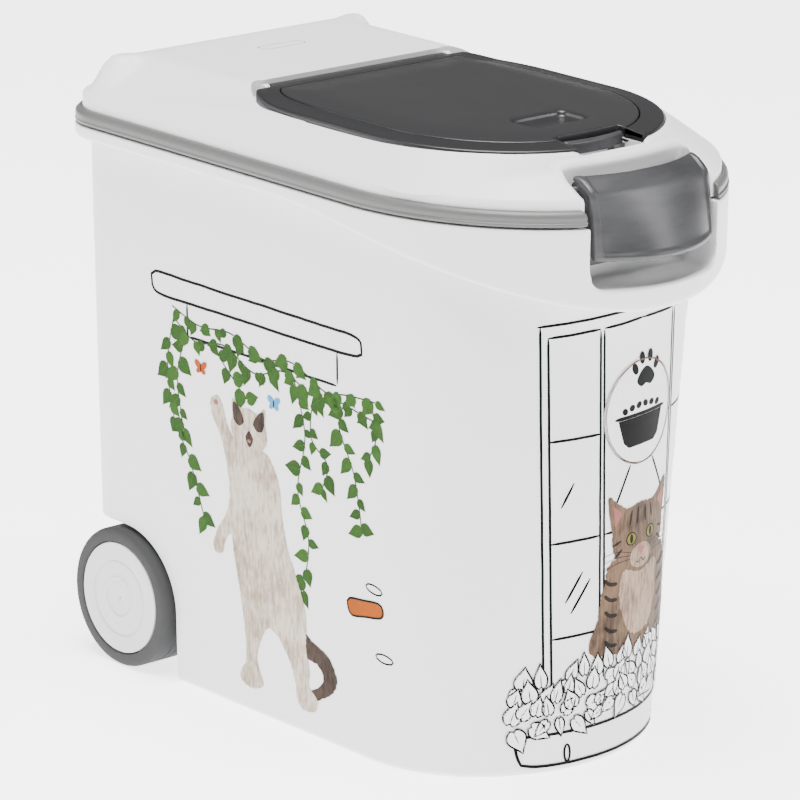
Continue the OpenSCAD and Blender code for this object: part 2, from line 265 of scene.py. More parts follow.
def across_prism(name, outline, y0, y1):
    """Solid from an outline of (x, z) places, stretched from y0 to y1."""
    count = len(outline)
    points = [(x, y0, z) for x, z in outline] + [(x, y1, z) for x, z in outline]
    faces = [list(range(count)), list(range(2 * count - 1, count - 1, -1))]
    faces += [[k, (k + 1) % count, count + (k + 1) % count, count + k] for k in range(count)]
    return mesh_from(name, points, faces)


def bake(piece, sharp):
    """Turns a piece's modifiers into its mesh."""
    graph = bpy.context.evaluated_depsgraph_get()
    graph.update()
    result = bpy.data.meshes.new_from_object(piece.evaluated_get(graph))
    piece.modifiers.clear()
    old = piece.data
    piece.data = result
    result.name = piece.name
    bpy.data.meshes.remove(old)
    tidy_mesh(piece.data, sharp)


def discard(thing):
    """Takes an object and its mesh away."""
    spare = thing.data
    bpy.data.objects.remove(thing)
    bpy.data.meshes.remove(spare)


def cut(piece, tool, sharp=30.0):
    """Cuts a tool's solid out of a piece, and takes the tool away."""
    change = piece.modifiers.new("cut", "BOOLEAN")
    change.operation = "DIFFERENCE"
    change.solver = "EXACT"
    change.object = tool
    bake(piece, sharp)
    discard(tool)


def round_edges(piece, width, segments=3):
    """Rounds the edges of a piece that are sharper than 40 degrees."""
    change = piece.modifiers.new("rounded", "BEVEL")
    change.width = width * MM
    change.segments = segments
    change.limit_method = "ANGLE"
    change.angle_limit = math.radians(40.0)
    change.use_clamp_overlap = True
    bake(piece, 50.0)


def join(piece, others):
    """Adds the meshes of other objects to a piece."""
    work = bmesh.new()
    work.from_mesh(piece.data)
    for other in others:
        work.from_mesh(other.data)
        discard(other)
    work.to_mesh(piece.data)
    work.free()
    tidy_mesh(piece.data, 35.0)


def unit(before, after):
    """Direction from one place to another, with length 1."""
    along, up = after[0] - before[0], after[1] - before[1]
    size = math.hypot(along, up) or 1.0
    return along / size, up / size


def rounded_box(angle, half_x, half_y):
    """Place on a rounded rectangle in the direction of an angle."""
    c, s = math.cos(angle), math.sin(angle)
    power = 7.0
    scale = (abs(c) ** power + abs(s) ** power) ** (-1 / power)
    return half_x * c * scale, half_y * s * scale


def rounded_box_columns(middle_x, half_x, half_y, marks, count):
    """Columns round a rounded rectangle, through marks of growth and height."""
    columns = []
    for k in range(count):
        angle = 2 * math.pi * (k + 0.5) / count
        column = []
        for grow, z in marks:
            x, y = rounded_box(angle, half_x + grow, half_y + grow)
            column.append((middle_x + x, y, z))
        columns.append(column)
    return columns


def arc(cx, cz, rx, rz, a0, a1, count):
    """Places on an ellipse arc from angle a0 to a1 in degrees, both ends included."""
    found = []
    for k in range(count + 1):
        angle = math.radians(mix(a0, a1, k / count))
        found.append((cx + rx * math.cos(angle), cz + rz * math.sin(angle)))
    return found


# ---------- Tub ----------

def nose_low_z(x):
    """Height of the collar's lower edge, which dips towards the nose."""
    return 371 - 50 * (max(0.0, x + 2) / 225) ** 1.8


def pocket_floor_z(y):
    """Height of the finger pocket's floor, which curls up at its ends."""
    if y <= 44:
        return 339 + 0.4 * (y / 44) ** 2
    return 339.4 + 11.6 - math.sqrt(max(0.0, 11.6 ** 2 - (min(y, 55.6) - 44) ** 2))


def tub_column(station, pocket, turn=None, boxed=False):
    """One column of the tub's skin, from its base, round the collar, to its top rim."""
    rows = []
    under = 377.5
    if pocket or boxed or turn is not None:
        under = pocket_floor_z(min(station[1], POCKET_HALF)) - WALL

    def at(shape, z):
        x, y = on_plan(station, shape, POCKET_EDGE)
        rows.append((x, y, z))

    for angle in steps(0, 90, 5):
        t = math.radians(angle)
        at(tub_plan(0, 5 - 5 * math.sin(t)), 5 - 5 * math.cos(t))
    for z in steps(5, under - 4, 10):
        at(tub_plan(z), z)
    for angle in (30, 60, 90):
        t = math.radians(angle)
        at(tub_plan(under - 2.5, -4 + 4 * math.cos(t)), under - 4 + 4 * math.sin(t))
    x, y = on_plan(station, collar_plan(WALL), POCKET_EDGE)
    low = nose_low_z(x)
    at(collar_plan(WALL + 1), under)
    for z in steps(under - 0.8, low + 1.4, 9):
        at(collar_plan(WALL), z)
    for inset, up in ((2.2, 0.7), (1.6, 0.6), (1.0, 1.0), (0.45, 2.0), (0.12, 3.1), (0, 4.3)):
        at(collar_plan(inset), low + up)
    outer = collar_plan(0)
    if pocket:
        floor_z = pocket_floor_z(y)
        for z in steps(low + 4.3, floor_z - 2.5, 6):
            at(outer, z)
        for angle in steps(0, 90, 8):
            t = math.radians(angle)
            at(collar_plan(2.6 - 2.6 * math.cos(t)), floor_z - 2.5 + 2.5 * math.sin(t))
        inner = rows[-1]
        for t in steps(0, 1, 8):
            sag = 0.6 * math.sin(t * math.pi)
            rows.append((mix(inner[0], POCKET_BACK + 3, t), inner[1], floor_z - sag))
        for angle in (22.5, 45, 67.5, 90):
            t = math.radians(angle)
            rows.append((POCKET_BACK + 3 - 3 * math.sin(t), y, floor_z + 3 - 3 * math.cos(t)))
        proud = 0.6 if y < 38.2 else 0.0
        for x, z in ((0, 355.4), (proud, 356), (proud, 358), (0, 358.6), (0, 366), (0, 374), (0, 378.5)):
            rows.append((POCKET_BACK + x, y, max(z, floor_z + 3.2)))
        for angle in (30, 60, 90):
            t = math.radians(angle)
            rows.append((POCKET_BACK - 1.5 + 1.5 * math.cos(t), y, 378.5 + 1.5 * math.sin(t)))
        mark = rows[-1]
    else:
        rise = 1.5
        level = mix(low + 4.3, 378.5, 0.385)
        if turn is not None:
            level = pocket_floor_z(POCKET_HALF) - 2.5
        for z in steps(low + 4.3, level, 6):
            at(outer, z)
        give = 0.0 if turn is None else rise * (1 - math.cos(turn))
        for k, z in enumerate(steps(level, 378.5, 12)):
            at(outer, z)
            x, y, z = rows[-1]
            rows[-1] = (x - give * ease((k + 1) / 4), y, z)
        for angle in (22.5, 45, 67.5, 90):
            t = math.radians(angle)
            at(collar_plan(rise - rise * math.cos(t)), 378.5 + rise * math.sin(t))
            x, y, z = rows[-1]
            rows[-1] = (x - give * math.cos(t), y, z - give * math.sin(t))
        edge = on_plan(station, collar_plan(rise), POCKET_EDGE)
        rim = on_plan(station, tub_plan(DECK_Z), POCKET_EDGE)
        for t in steps(0, 1, 14):
            x = mix(edge[0], rim[0], 0.61 * t)
            y = mix(edge[1], rim[1], 0.61 * t)
            if turn is not None:
                x = mix(edge[0], POCKET_BACK - 1.5, t)
                y = edge[1]
            rows.append((x, y, DECK_Z - give * ease((1 - t) * 4)))
        mark = rows[-1]
    rim = on_plan(station, tub_plan(DECK_Z), POCKET_EDGE)
    for t in (0.4, 0.75, 1.0):
        rows.append((mix(mark[0], rim[0], t), mix(mark[1], rim[1], t), DECK_Z))
    at(tub_plan(DECK_Z), 383.2)
    at(tub_plan(DECK_Z, 0.3), 383.8)
    at(tub_plan(DECK_Z, 0.8), TUB_RIM_Z)
    return rows


def wheel_step(name, grow):
    """Solid that takes the rear corner away for the wheels."""
    cx, cz = WHEEL_AXIS
    radius = 52 + grow
    outline = [(-400, -30), (cx + radius, -30)]
    outline += arc(cx, cz, radius, radius, 0, 90, 24)
    outline += [(-206, 101 + grow)]
    outline += [(x, z) for x, z in arc(-206, 114 + grow, 13 + grow, 13, -90, -160, 6)][1:]
    outline += [(-400, 110 + grow)]
    return across_prism(name, outline, -200, 200)


def make_tub():
    fronts = [0, 4, 8, 12, 16, 20, 24, 28, 32, 35, 38, 38.4, 41, 44, 46.5, 49, 51, 52.6, 54, 55, 55.6, 56]
    columns = [tub_column(("front", y), True) for y in fronts]
    for angle in (90, 70, 50, 30, 15):
        turn = math.radians(angle)
        y = POCKET_HALF + 1.5 * (1 - math.sin(turn))
        columns.append(tub_column(("front", y), False, turn))
    columns.append(tub_column(("front", POCKET_EDGE), False, None, True))
    for station in stations([], bow=44, side=26, corner=12, rear=10):
        columns.append(tub_column(station, False))
    piece = column_piece("bin_tub", both_sides(columns), True, False, True)
    cut(piece, wheel_step("step_outside", 0.0))
    hollow = []
    for station in stations([0, 10, 20, 30, 40, 50], bow=36, side=10, corner=12, rear=4):
        rows = []
        for angle in (0, 22.5, 45, 67.5, 90):
            t = math.radians(angle)
            x, y = on_plan(station, tub_plan(0, 7.5 - 5 * math.sin(t)), 57)
            rows.append((x, y, 7.5 - 5 * math.cos(t)))
        for z in (100, 200, 300, 390):
            x, y = on_plan(station, tub_plan(z, WALL), 57)
            rows.append((x, y, z))
        hollow.append(rows)
    inside = column_piece("hollow", both_sides(hollow), True, False, True)
    cut(inside, wheel_step("step_inside", WALL))
    cut(piece, inside)
    return piece


# ---------- Lid ----------

# Depth inside the collar's edge and height of the lid's skin, at the rear and at the rear corners.
LID_REAR = (
    (5.2, 401), (8, 402.2), (11, 404.6), (14, 408.6), (25, 420.6), (30, 423.6), (36, 426), (60, 432),
)
LID_CORNER = (
    (5.2, 401), (8, 403), (11, 407.6), (14, 413.6), (18, 419.6), (22, 424), (28, 429), (60, 440),
)


def lid_side(depth):
    """Height of the lid's sloping sides at a depth inside the collar's edge."""
    return 397 + 0.69 * (depth - LID_INSET)


def along_marks(depth, marks):
    """Height at a depth, from marks of depth and height."""
    if depth <= marks[0][0]:
        return marks[0][1]
    for (d0, z0), (d1, z1) in zip(marks, marks[1:]):
        if depth <= d1:
            return mix(z0, z1, (depth - d0) / (d1 - d0))
    return marks[-1][1]


def bow_depth(x, y, half, reach, start):
    """How far a place lies inside an elliptic front with the given half width and reach."""
    low, high = -20.0, min(half, reach) - 1
    for _ in range(30):
        middle = (low + high) / 2
        inside = ((x - start) / (reach - middle)) ** 2 + (y / (half - middle)) ** 2 < 1
        if inside:
            low = middle
        else:
            high = middle
    return low


def lid_z(x, y):
    """Height of the lid's skin over a place."""
    y = abs(y)
    side_depth = COLLAR_HALF - y
    rear_depth = x - COLLAR_REAR
    crown = CROWN_Z - 1.2 * ease((x - 110) / 70)
    round_off = 46.0
    if x > 70:
        depth = bow_depth(x, y, COLLAR_HALF, COLLAR_FRONT - 70.0, 70.0)
        slope = lid_side(depth)
    elif rear_depth < round_off and side_depth < round_off:
        across = side_depth - round_off
        along = rear_depth - round_off
        depth = max(LID_INSET, round_off - math.hypot(across, along))
        turn = math.atan2(-along, -across) / (math.pi / 2)
        slope = mix(lid_side(depth), along_marks(depth, LID_REAR), ease(turn))
        flare = math.sin(math.pi * max(0.0, min(1.0, turn))) ** 1.3
        slope = mix(slope, along_marks(depth, LID_CORNER), flare)
    elif rear_depth < round_off:
        slope = along_marks(rear_depth, LID_REAR)
        if side_depth < 60:
            slope = min(slope, lid_side(side_depth))
    else:
        slope = lid_side(side_depth)
    height = soft_min(crown, slope, 3.6)
    if x > 100:
        front = 414.5 + 0.54 * bow_depth(x, y, *RECESS_BOW)
        height = soft_min(height, front, 3.0)
    return height


def rim_z(x, y, kind):
    """Height of the lid's skin where it meets the flap, and of its low lip before the catch."""
    y = abs(y)
    if kind == "rear":
        return lid_z(x, y)
    if kind == "corner":
        return mix(416.6, lid_z(x, y), ease((-x - 30) / 45))
    shown = mix(3.9, 1.7, ease((x - 20) / 130))
    level = flap_z(x, 0) - shown
    if x > 150:
        level = mix(415.0, level, ease((y - 26.5) / 5.5))
    return level


def recess_wall_x(y):
    """Back wall of the latch recess, with rounded inner corners."""
    half, reach, start = RECESS_BOW
    x = start + reach * math.sqrt(1 - (y / half) ** 2)
    if y > 49:
        x += 6 - math.sqrt(max(0.0, 36 - (min(y, 55) - 49) ** 2))
    return x


def lid_column(station, recess, turn=None, inner_recess=None):
    """Closed section of the lid: edge, skin, flap seat, underside and back to the edge."""
    inner_recess = recess if inner_recess is None else inner_recess
    kind, value = station
    middle = kind == "front"
    rows = []
    skirt = collar_plan(LID_INSET)
    edge_x, edge_y = on_plan(station, skirt, RECESS_EDGE)
    if middle:
        join_x = recess_wall_x(min(value, RECESS_HALF)) - 3
        join_y = value
    else:
        join_x, join_y = on_plan(station, tub_plan(DECK_Z, -4.5), RECESS_EDGE)
        if kind == "bow":
            join_x += 6 * max(0.0, 1 - value * 5)
    give = 0.0 if turn is None else 4 * (1 - math.cos(turn))
    if recess:
        wall_x = join_x + 3
        top = lid_z(wall_x, join_y)
        for z in [LID_LOW] + steps(LID_LOW, top - 3, 15):
            rows.append((wall_x, join_y, z))
        for angle in steps(0, 90, 9):
            t = math.radians(angle)
            x = wall_x - 3 + 3 * math.cos(t)
            rows.append((x, join_y, lid_z(x, join_y) - 3 + 3 * math.sin(t)))
    else:
        shoulder = lid_z(edge_x, edge_y) - 2.4
        for z in [LID_LOW] + steps(LID_LOW, shoulder, 8):
            rows.append((edge_x - give, edge_y, z))
        for t in steps(0, 1, 16):
            x = mix(edge_x, join_x, t)
            y = mix(edge_y, join_y, t)
            run = math.hypot(x - edge_x, y - edge_y)
            round_off = 2.4 * (1 - math.sqrt(1 - (1 - min(run, 2.4) / 2.4) ** 2))
            fade = ease((1 - t) * 3)
            lean = ease(run / 5)
            z = lid_z(x, y) - round_off - give * fade * lean
            rows.append((x - give * fade * (1 - lean), y, z))
    slot = middle and value <= 27.6
    slack = 0.7
    if kind == "corner":
        slack += 2.4 * ease(value / 0.5)
    if slot:
        ring = (170.5, value)
    else:
        ring = on_plan(station, flap_plan(-slack), RECESS_EDGE)
    shift = rim_z(ring[0], ring[1], kind) - lid_z(ring[0], ring[1])
    for k in range(26):
        t = ((k + 1) / 26) ** 1.7
        x = mix(join_x, ring[0], t)
        y = mix(join_y, ring[1], t)
        rows.append((x, y, lid_z(x, y) + shift * ease(t * 1.15)))
    rear = kind == "rear" and ring[1] < 79.5
    seat = min(rows[-1][2], SEAT_Z)
    if middle and value <= 35.8:
        hole = (137.0, value)
    else:
        hole = on_plan(station, flap_plan(16), RECESS_EDGE)
    if slot:
        path = [(170.5, 400), (165, 400), (146, 400), (146, SEAT_Z), (142, SEAT_Z), (137, SEAT_Z)]
        rows += [(x, value, z) for x, z in path]
    elif rear:
        y = ring[1]
        path = [(-80.6, SEAT_Z), (-80.6, 408.8), (-70, 408.8), (-70, SEAT_Z), (-66, SEAT_Z), (-63, SEAT_Z)]
        rows += [(x, y, z) for x, z in path]
    else:
        rows.append((ring[0], ring[1], seat))
        for t in (0.2, 0.4, 0.6, 0.8, 1.0):
            x = mix(ring[0], hole[0], t)
            y = mix(ring[1], hole[1], t)
            rows.append((x, y, min(lid_z(x, y), SEAT_Z)))
    last = rows[-1]
    rows.append((last[0], last[1], last[2] - WALL))
    back = on_plan(station, flap_plan(-slack - 2.5), RECESS_EDGE)
    if slot:
        path = [(143.5, SEAT_Z - WALL), (143.5, 397.5), (172.7, 397.5)]
        rows += [(x, value, z) for x, z in path]
        back = (172.7, value)
    elif rear:
        path = [(-67.5, SEAT_Z - WALL), (-67.5, 406.3), (-83, 406.3)]
        rows += [(x, ring[1], z) for x, z in path]
        back = (-83.0, ring[1])
    else:
        for t in (0.4, 0.8, 1.0):
            x = mix(last[0], back[0], t)
            y = mix(last[1], back[1], t)
            rows.append((x, y, min(lid_z(x, y), SEAT_Z) - WALL))
    inner_x, inner_y = on_plan(station, tub_plan(DECK_Z, -2.2), RECESS_EDGE)
    if middle:
        inner_x, inner_y = recess_wall_x(min(value, RECESS_HALF)) - 6, value
    for k in range(15):
        t = 1 - (1 - k / 14) ** 1.7
        x = mix(back[0], inner_x, t)
        y = mix(back[1], inner_y, t)
        rows.append((x, y, lid_z(x, y) - WALL - 0.2 + shift * ease((1 - t) * 1.15)))
    if inner_recess:
        x = inner_x + 3.5
        top = lid_z(x, inner_y) - 4
        for z in [top] + steps(top, LID_LOW, 5):
            rows.append((x, inner_y, z))
    else:
        x, y = on_plan(station, collar_plan(6.7), RECESS_EDGE)
        top = min(lid_z(x, y) - WALL - 1.5, rows[-1][2])
        for z in [top] + steps(top, LID_LOW, 5):
            rows.append((x, y, z))
    return rows


def make_lid():
    """Lid cover as one closed skin, with room at the back for the hinge brackets."""
    fronts = [0, 5, 10, 15, 20, 24, 27, 27.6, 27.8, 30, 33, 35.8, 36, 39, 42, 45, 47.5]
    fronts += [49, 50.5, 52, 53.2, 54.2, 54.8, 55]
    columns = [lid_column(("front", y), True) for y in fronts]
    for angle in (90, 72, 54, 36, 18, 0):
        turn = math.radians(angle)
        y = RECESS_HALF + 4 * (1 - math.sin(turn))
        columns.append(lid_column(("front", y), False, turn, True))
    found = stations([], bow=44, side=24, corner=18, rear=14)
    columns += [lid_column(station, False) for station in found]
    piece = column_piece("lid_cover", both_sides(columns), True, True, False, 38.0)
    for middle in (-70, 70):
        outline = [(-240, 370), (-221, 370), (-221, 392.4), (-240, 392.4)]
        cut(piece, across_prism("hinge_room", outline, middle - 12.5, middle + 12.5), 38.0)
    return piece


def make_lugs():
    """White lugs at the flap's rear corners, which hold its pins, and a blank raised plate."""
    pieces = []
    x0, z0 = FLAP_HINGE
    for side, word in SIDES:
        outline = [(x0 - 3.6, 411.9), (x0 + 3.6, 411.9)]
        outline += arc(x0, z0, 3.6, 3.6, 0, 180, 18)
        ends = sorted((side * 78.4, side * 82.6))
        lug = across_prism("flap_lug_" + word, outline, ends[0], ends[1])
        round_edges(lug, 0.5)
        pieces.append(lug)
    marks = []
    for grow, up in PLATE_EDGE:
        marks.append((grow, CROWN_Z + up))
    columns = rounded_box_columns(PLATE_X, *PLATE_SIZE, marks, 48)
    pieces.append(column_piece("blank_plate", columns, True, False, True, 50))
    return pieces


# ---------- Grip band ----------

def band_section(station, shrink):
    """Closed section of the band, pulled towards its middle by shrink."""
    x, _ = on_plan(station, collar_plan(0), POCKET_EDGE)
    lip = 0.75 * ease((x - 60) / 110)
    face = (
        (5.0, 0.0), (1.3, 0.0), (0.5, 0.3), (0.1, 0.9), (0.0, 1.5), (0.05, 2.1), (0.15 + 0.5 * lip, 2.5),
        (0.3 + lip, 2.9), (0.3 + lip, 3.3), (0.25 + 0.7 * lip, 4.0), (0.3 + 0.5 * lip, 5.4),
        (0.4 + 0.5 * lip, 6.6), (0.75 + 0.4 * lip, 7.4), (1.5 + 0.2 * lip, 8.2), (2.3, 9.0), (3.0, 9.45),
        (3.7, BAND_HIGH - BAND_LOW), (5.0, BAND_HIGH - BAND_LOW),
    )
    column = []
    for inset, up in face:
        place = on_plan(station, collar_plan(mix(inset, 2.6, shrink)), POCKET_EDGE)
        column.append((place[0], place[1], mix(BAND_LOW + up, (BAND_LOW + BAND_HIGH) / 2, shrink)))
    return column


def make_band():
    """Grip band from one side of the latch round the back to the other."""
    columns = []
    for t, shrink in ((0.0, 0.9), (0.0006, 0.5), (0.002, 0.26), (0.005, 0.1), (0.009, 0.02)):
        columns.append(band_section(("bow", t), shrink))
    for station in stations([], bow=56, side=30, corner=22, rear=14)[1:]:
        columns.append(band_section(station, 0.0))
    near = [[(x, -y, z) for x, y, z in column] for column in columns]
    far = [[(x, y, z) for x, y, z in column] for column in columns[-2::-1]]
    piece = column_piece("grip_band_trim", near + far, False, True, True, 50.0)
    outline = [(-240, 370), (-221.5, 370), (-221.5, 395), (-240, 395)]
    for middle in (-70, 70):
        cut(piece, across_prism("knuckle_room", outline, middle - 12.5, middle + 12.5), 50.0)
    return piece


def make_knuckles():
    """Round hinge knuckles at the back of the lid, between the collar's brackets."""
    pieces = []
    for side, word in SIDES:
        outline = arc(-226, 387, 4.2, 4.2, 90, 270, 12) + [(-219.5, 383.4), (-219.5, 391.2)]
        ends = (side * 70 - 6.7, side * 70 + 6.7)
        pieces.append(across_prism("lid_knuckle_" + word, outline, ends[0], ends[1]))
        round_edges(pieces[-1], 0.4, 2)
    return pieces


# ---------- Dispensing flap ----------

def flap_z(x, depth):
    """Height of the flap's top over a place that lies depth inside its edge."""
    fall = 4.0 * (1 - ease(depth / 46)) ** 1.4
    rear = ease((-42 - x) / 30)
    front = ease((x - 60) / 112)
    return 424.0 - fall * (1 - 0.62 * rear) - 0.5 * front


def flap_ring(station, inset, drop):
    """Place on the flap's top, inset from its edge and dropped below its skin."""
    x, y = on_plan(station, flap_plan(inset), 26.0)
    return x, y, flap_z(x, inset) - drop


def flap_stations():
    return stations([0, 4, 8, 12, 16, 20, 24], bow=54, side=28, corner=26, rear=10)


def notch_tool(grow):
    outline = [(NOTCH_X - grow, 380), (220, 380), (220, 440), (NOTCH_X - grow, 440)]
    return across_prism("notch_tool", outline, -NOTCH_HALF - grow, NOTCH_HALF + grow)


def corner_tool(side):
    """Takes the flap's rear corner away where the lid's lug stands."""
    outline = [(-100, 380), (FLAP_HINGE[0] + 4.6, 380), (FLAP_HINGE[0] + 4.6, 440), (-100, 440)]
    ends = sorted((side * 77.9, side * 130.0))
    return across_prism("corner_tool", outline, ends[0], ends[1])


def make_flap_border():
    """Border of the flap as a closed ring, with its notch and its cut rear corners."""
    outer = ((0.0, 3.4), (0.0, 2.2), (0.15, 1.1), (0.6, 0.45), (1.3, 0.12), (2.2, 0.0))
    across = tuple((inset, 0.0) for inset in (4, 6, 8, 10, 12, 13.6, 14.8))
    inner = ((15.5, 0.08), (16.0, 0.35), (16.2, 0.9), (16.2, 4.2))
    columns = []
    for station in flap_stations():
        column = []
        for inset, up in ((0.5, 0.35), (0.12, 1.2)):
            x, y, _ = flap_ring(station, inset, 0.0)
            column.append((x, y, SEAT_Z + up))
        for inset, drop in outer + across + inner:
            column.append(flap_ring(station, inset, drop))
        x, y, _ = column[-1]
        column.append((x, y, SEAT_Z + 0.35))
        columns.append(column)
    piece = column_piece("flap_border", both_sides(columns), True, True, False, 42.0)
    cut(piece, notch_tool(0.0), 42.0)
    for side in (-1, 1):
        cut(piece, corner_tool(side), 42.0)
    return piece


def make_flap_panel():
    """Crowned top of the flap, with a fine raised line round its edge."""
    edge = (
        (17.0, 3.0), (17.0, 0.8), (17.1, 0.3), (17.45, 0.05), (18.1, -0.1), (19.2, -0.12), (20.5, -0.05),
    )
    columns = []
    for station in flap_stations():
        column = []
        x, y, _ = flap_ring(station, 17.0, 0)
        column.append((x, y, SEAT_Z + 1.2))
        for inset, drop in edge:
            column.append(flap_ring(station, inset, drop))
        for inset in (23, 26, 30, 35, 41, 48, 56, 66, 78, 92):
            column.append(flap_ring(station, inset, 0.0))
        columns.append(column)
    points, faces = columns_to_faces(both_sides(columns), True, False, False)
    rows = len(columns[0])
    count = 2 * len(columns)
    faces.append([i * rows for i in range(count)])
    faces.append([i * rows + rows - 1 for i in range(count)])
    piece = mesh_from("flap_top", points, faces, 40.0)
    cut(piece, notch_tool(0.3), 40.0)
    cut(piece, thumb_tool(), 40.0)
    return piece


def thumb_tool():
    """Solid that scoops the thumb recess out of the flap, with soft edges."""
    marks = (
        (-6.0, 419.3), (-3.6, 419.4), (-2.4, 419.75), (-1.7, 420.4), (-1.3, 421.2), (-1.0, 422.0),
        (-0.7, 422.6), (-0.2, 423.1), (0.6, 423.5), (1.6, 423.75), (3.0, 424.1), (3.2, 426),
    )
    columns = rounded_box_columns(110.8, 14.2, 24.6, marks, 96)
    return column_piece("thumb_tool", columns, True, False, True)


def make_notch_wall():
    """Turned-down wall round the notch."""
    width = 1.6
    turn = 4.0
    path = [(166.5, -NOTCH_HALF)]
    for side, first in ((-1, -90), (1, 180)):
        for k in range(9):
            angle = math.radians(mix(first, first - 90, k / 8))
            y = side * (NOTCH_HALF - turn) + turn * math.sin(angle)
            path.append((NOTCH_X + turn + turn * math.cos(angle), y))
    path.append((166.5, NOTCH_HALF))
    columns = []
    for k, (x, y) in enumerate(path):
        dx, dy = unit(path[max(0, k - 1)], path[min(len(path) - 1, k + 1)])
        top = flap_z(x, max(0, bow_depth(x, abs(y), *FLAP_BOW))) + 0.35
        section = []
        for out, z in ((-width, 417.2), (-width, top - 0.8), (-width + 0.25, top - 0.2), (-width / 2, top),
                       (-0.25, top - 0.2), (0, top - 0.8), (0, 417.2)):
            section.append((x + dy * out, y - dx * out, z))
        columns.append(section)
    return column_piece("notch_wall", columns, False, True, True, 50)


# ---------- Catch ----------

def make_catch():
    """Bowed catch bar in the flap's notch, with its two arms."""
    bow = 110.0
    columns = []
    for k in range(53):
        y = mix(-25.6, 25.6, k / 52)
        sag = bow - math.sqrt(bow * bow - y * y)
        end = max(0.0, (abs(y) - 24.4) / 1.2)
        pull = 1.2 * (1 - math.sqrt(max(0.0, 1 - min(1.0, end) ** 2)))
        seam = 0.35 if abs(y) < 0.6 else 0.0
        cx = CATCH_AXIS[0] + 0.5 - sag
        column = []
        for x, z in arc(0, 0, 2.6 - pull - seam, 2.4 - pull - seam, 200, -20, 12):
            column.append((cx + x, y, 417.4 + z))
        column.append((cx + 2.4 - pull, y, 411.2 + pull))
        column.append((cx - 2.4 + pull, y, 411.2 + pull))
        columns.append(column)
    bar = column_piece("catch_bar", columns, False, True, True, 45)
    arms = []
    for side, word in SIDES:
        outline = arc(CATCH_AXIS[0], CATCH_AXIS[1], 3.5, 3.5, -180, 0, 12)
        outline += [(CATCH_AXIS[0] + 2.2, 412.5), (CATCH_AXIS[0] - 3.6, 412.5)]
        ends = (side * 20 - 5, side * 20 + 5)
        arms.append(across_prism("catch_arm_" + word, outline, ends[0], ends[1]))
        round_edges(arms[-1], 0.4, 2)
    return [bar] + arms


# ---------- Latch handle ----------

# Places down the middle of the grip's face, with how far each falls back at the grip's ends.
GRIP_FACE = (
    (200.6, 408.9, 12.4), (202.6, 408.2, 11.8), (205.4, 406.0, 10.4), (208.2, 403.2, 9.2),
    (210.2, 401.2, 8.7), (211.3, 399.6, 8.5), (212.3, 397.6, 8.8), (213.5, 395.0, 9.7),
    (215.4, 391.0, 11.1), (217.5, 386.5, 12.4), (219.5, 382.0, 13.5), (221.6, 377.0, 14.9),
    (223.7, 372.0, 16.4), (225.6, 367.4, 17.8), (226.8, 364.6, 18.7), (227.4, 363.3, 19.0),
    (228.4, 362.5, 19.3), (229.2, 361.6, 19.5), (229.5, 360.4, 19.6), (229.2, 359.2, 19.6),
    (228.4, 358.3, 19.5), (227.2, 358.0, 19.4),
)
# Places across the grip's end, with how far its section is drawn in to round the end off.
GRIP_END = (
    (46.8, 0), (47.3, 0), (47.8, 0), (48.3, 0), (49.2, 0), (50.2, 0.02), (51.0, 0.15), (51.5, 0.4),
    (51.85, 0.8), (52.0, 1.3),
)


def grip_column(y, inward):
    """Section of the grip at one place across it; inward pulls the end sections together."""
    half = 52.0
    side = abs(y)
    rim = ease((side - 46.6) / 1.6) * 1.5
    front = []
    back = []
    for k, (x, z, sag) in enumerate(GRIP_FACE):
        dx, dz = unit(GRIP_FACE[max(k - 1, 0)], GRIP_FACE[min(k + 1, len(GRIP_FACE) - 1)])
        nx, nz = -dz, dx
        bowed = x - sag * (y / half) ** 2
        lift = rim * (1 - ease((k - 15) / 2)) * min(1.0, (k + 1) / 3)
        front.append((bowed + nx * (lift - inward), z + nz * (lift - inward)))
        thick = 3.0 if k < 16 else 4.2
        back.append((bowed - nx * (thick - inward * 0.6), z - nz * (thick - inward * 0.6)))
    back[-1] = (back[-1][0], max(back[-1][1], 358.3 + inward))
    back[-2] = (back[-2][0], max(back[-2][1], 358.6 + inward))
    tail = back[:17]
    return [(x, y, z) for x, z in front + tail[::-1]]


def make_grip():
    """Bowed grip of the latch and its two sides."""
    places = []
    for k in range(41):
        places.append((mix(-46, 46, k / 40), 0.0))
    for y, inward in GRIP_END:
        places.append((y, inward))
        places.append((-y, inward))
    places.sort()
    columns = [grip_column(y, inward) for y, inward in places]
    pieces = [column_piece("latch_grip", columns, False, True, True, 55)]
    for side, word in SIDES:
        outline = [(208.2, 359.6), (205.8, 359.3), (200.2, 366), (196.2, 380), (189.5, 394.6)]
        outline += arc(LATCH_AXIS[0], LATCH_AXIS[1], 5.0, 5.0, -110, -235, 9)
        outline += [(188.6, 406.4), (191.2, 405.6), (195.4, 403.4), (199.6, 399.6)]
        outline += [(201.6, 394), (204.6, 382), (207.2, 370), (208.6, 363)]
        ends = sorted((side * 48.2, side * 51.7))
        flange = across_prism("latch_side_" + word, outline, ends[0], ends[1])
        round_edges(flange, 0.9, 3)
        pieces.append(flange)
    return pieces


# ---------- Wheels ----------

WHEEL_OUTER = 122.2
WHEEL_INNER = 86.2
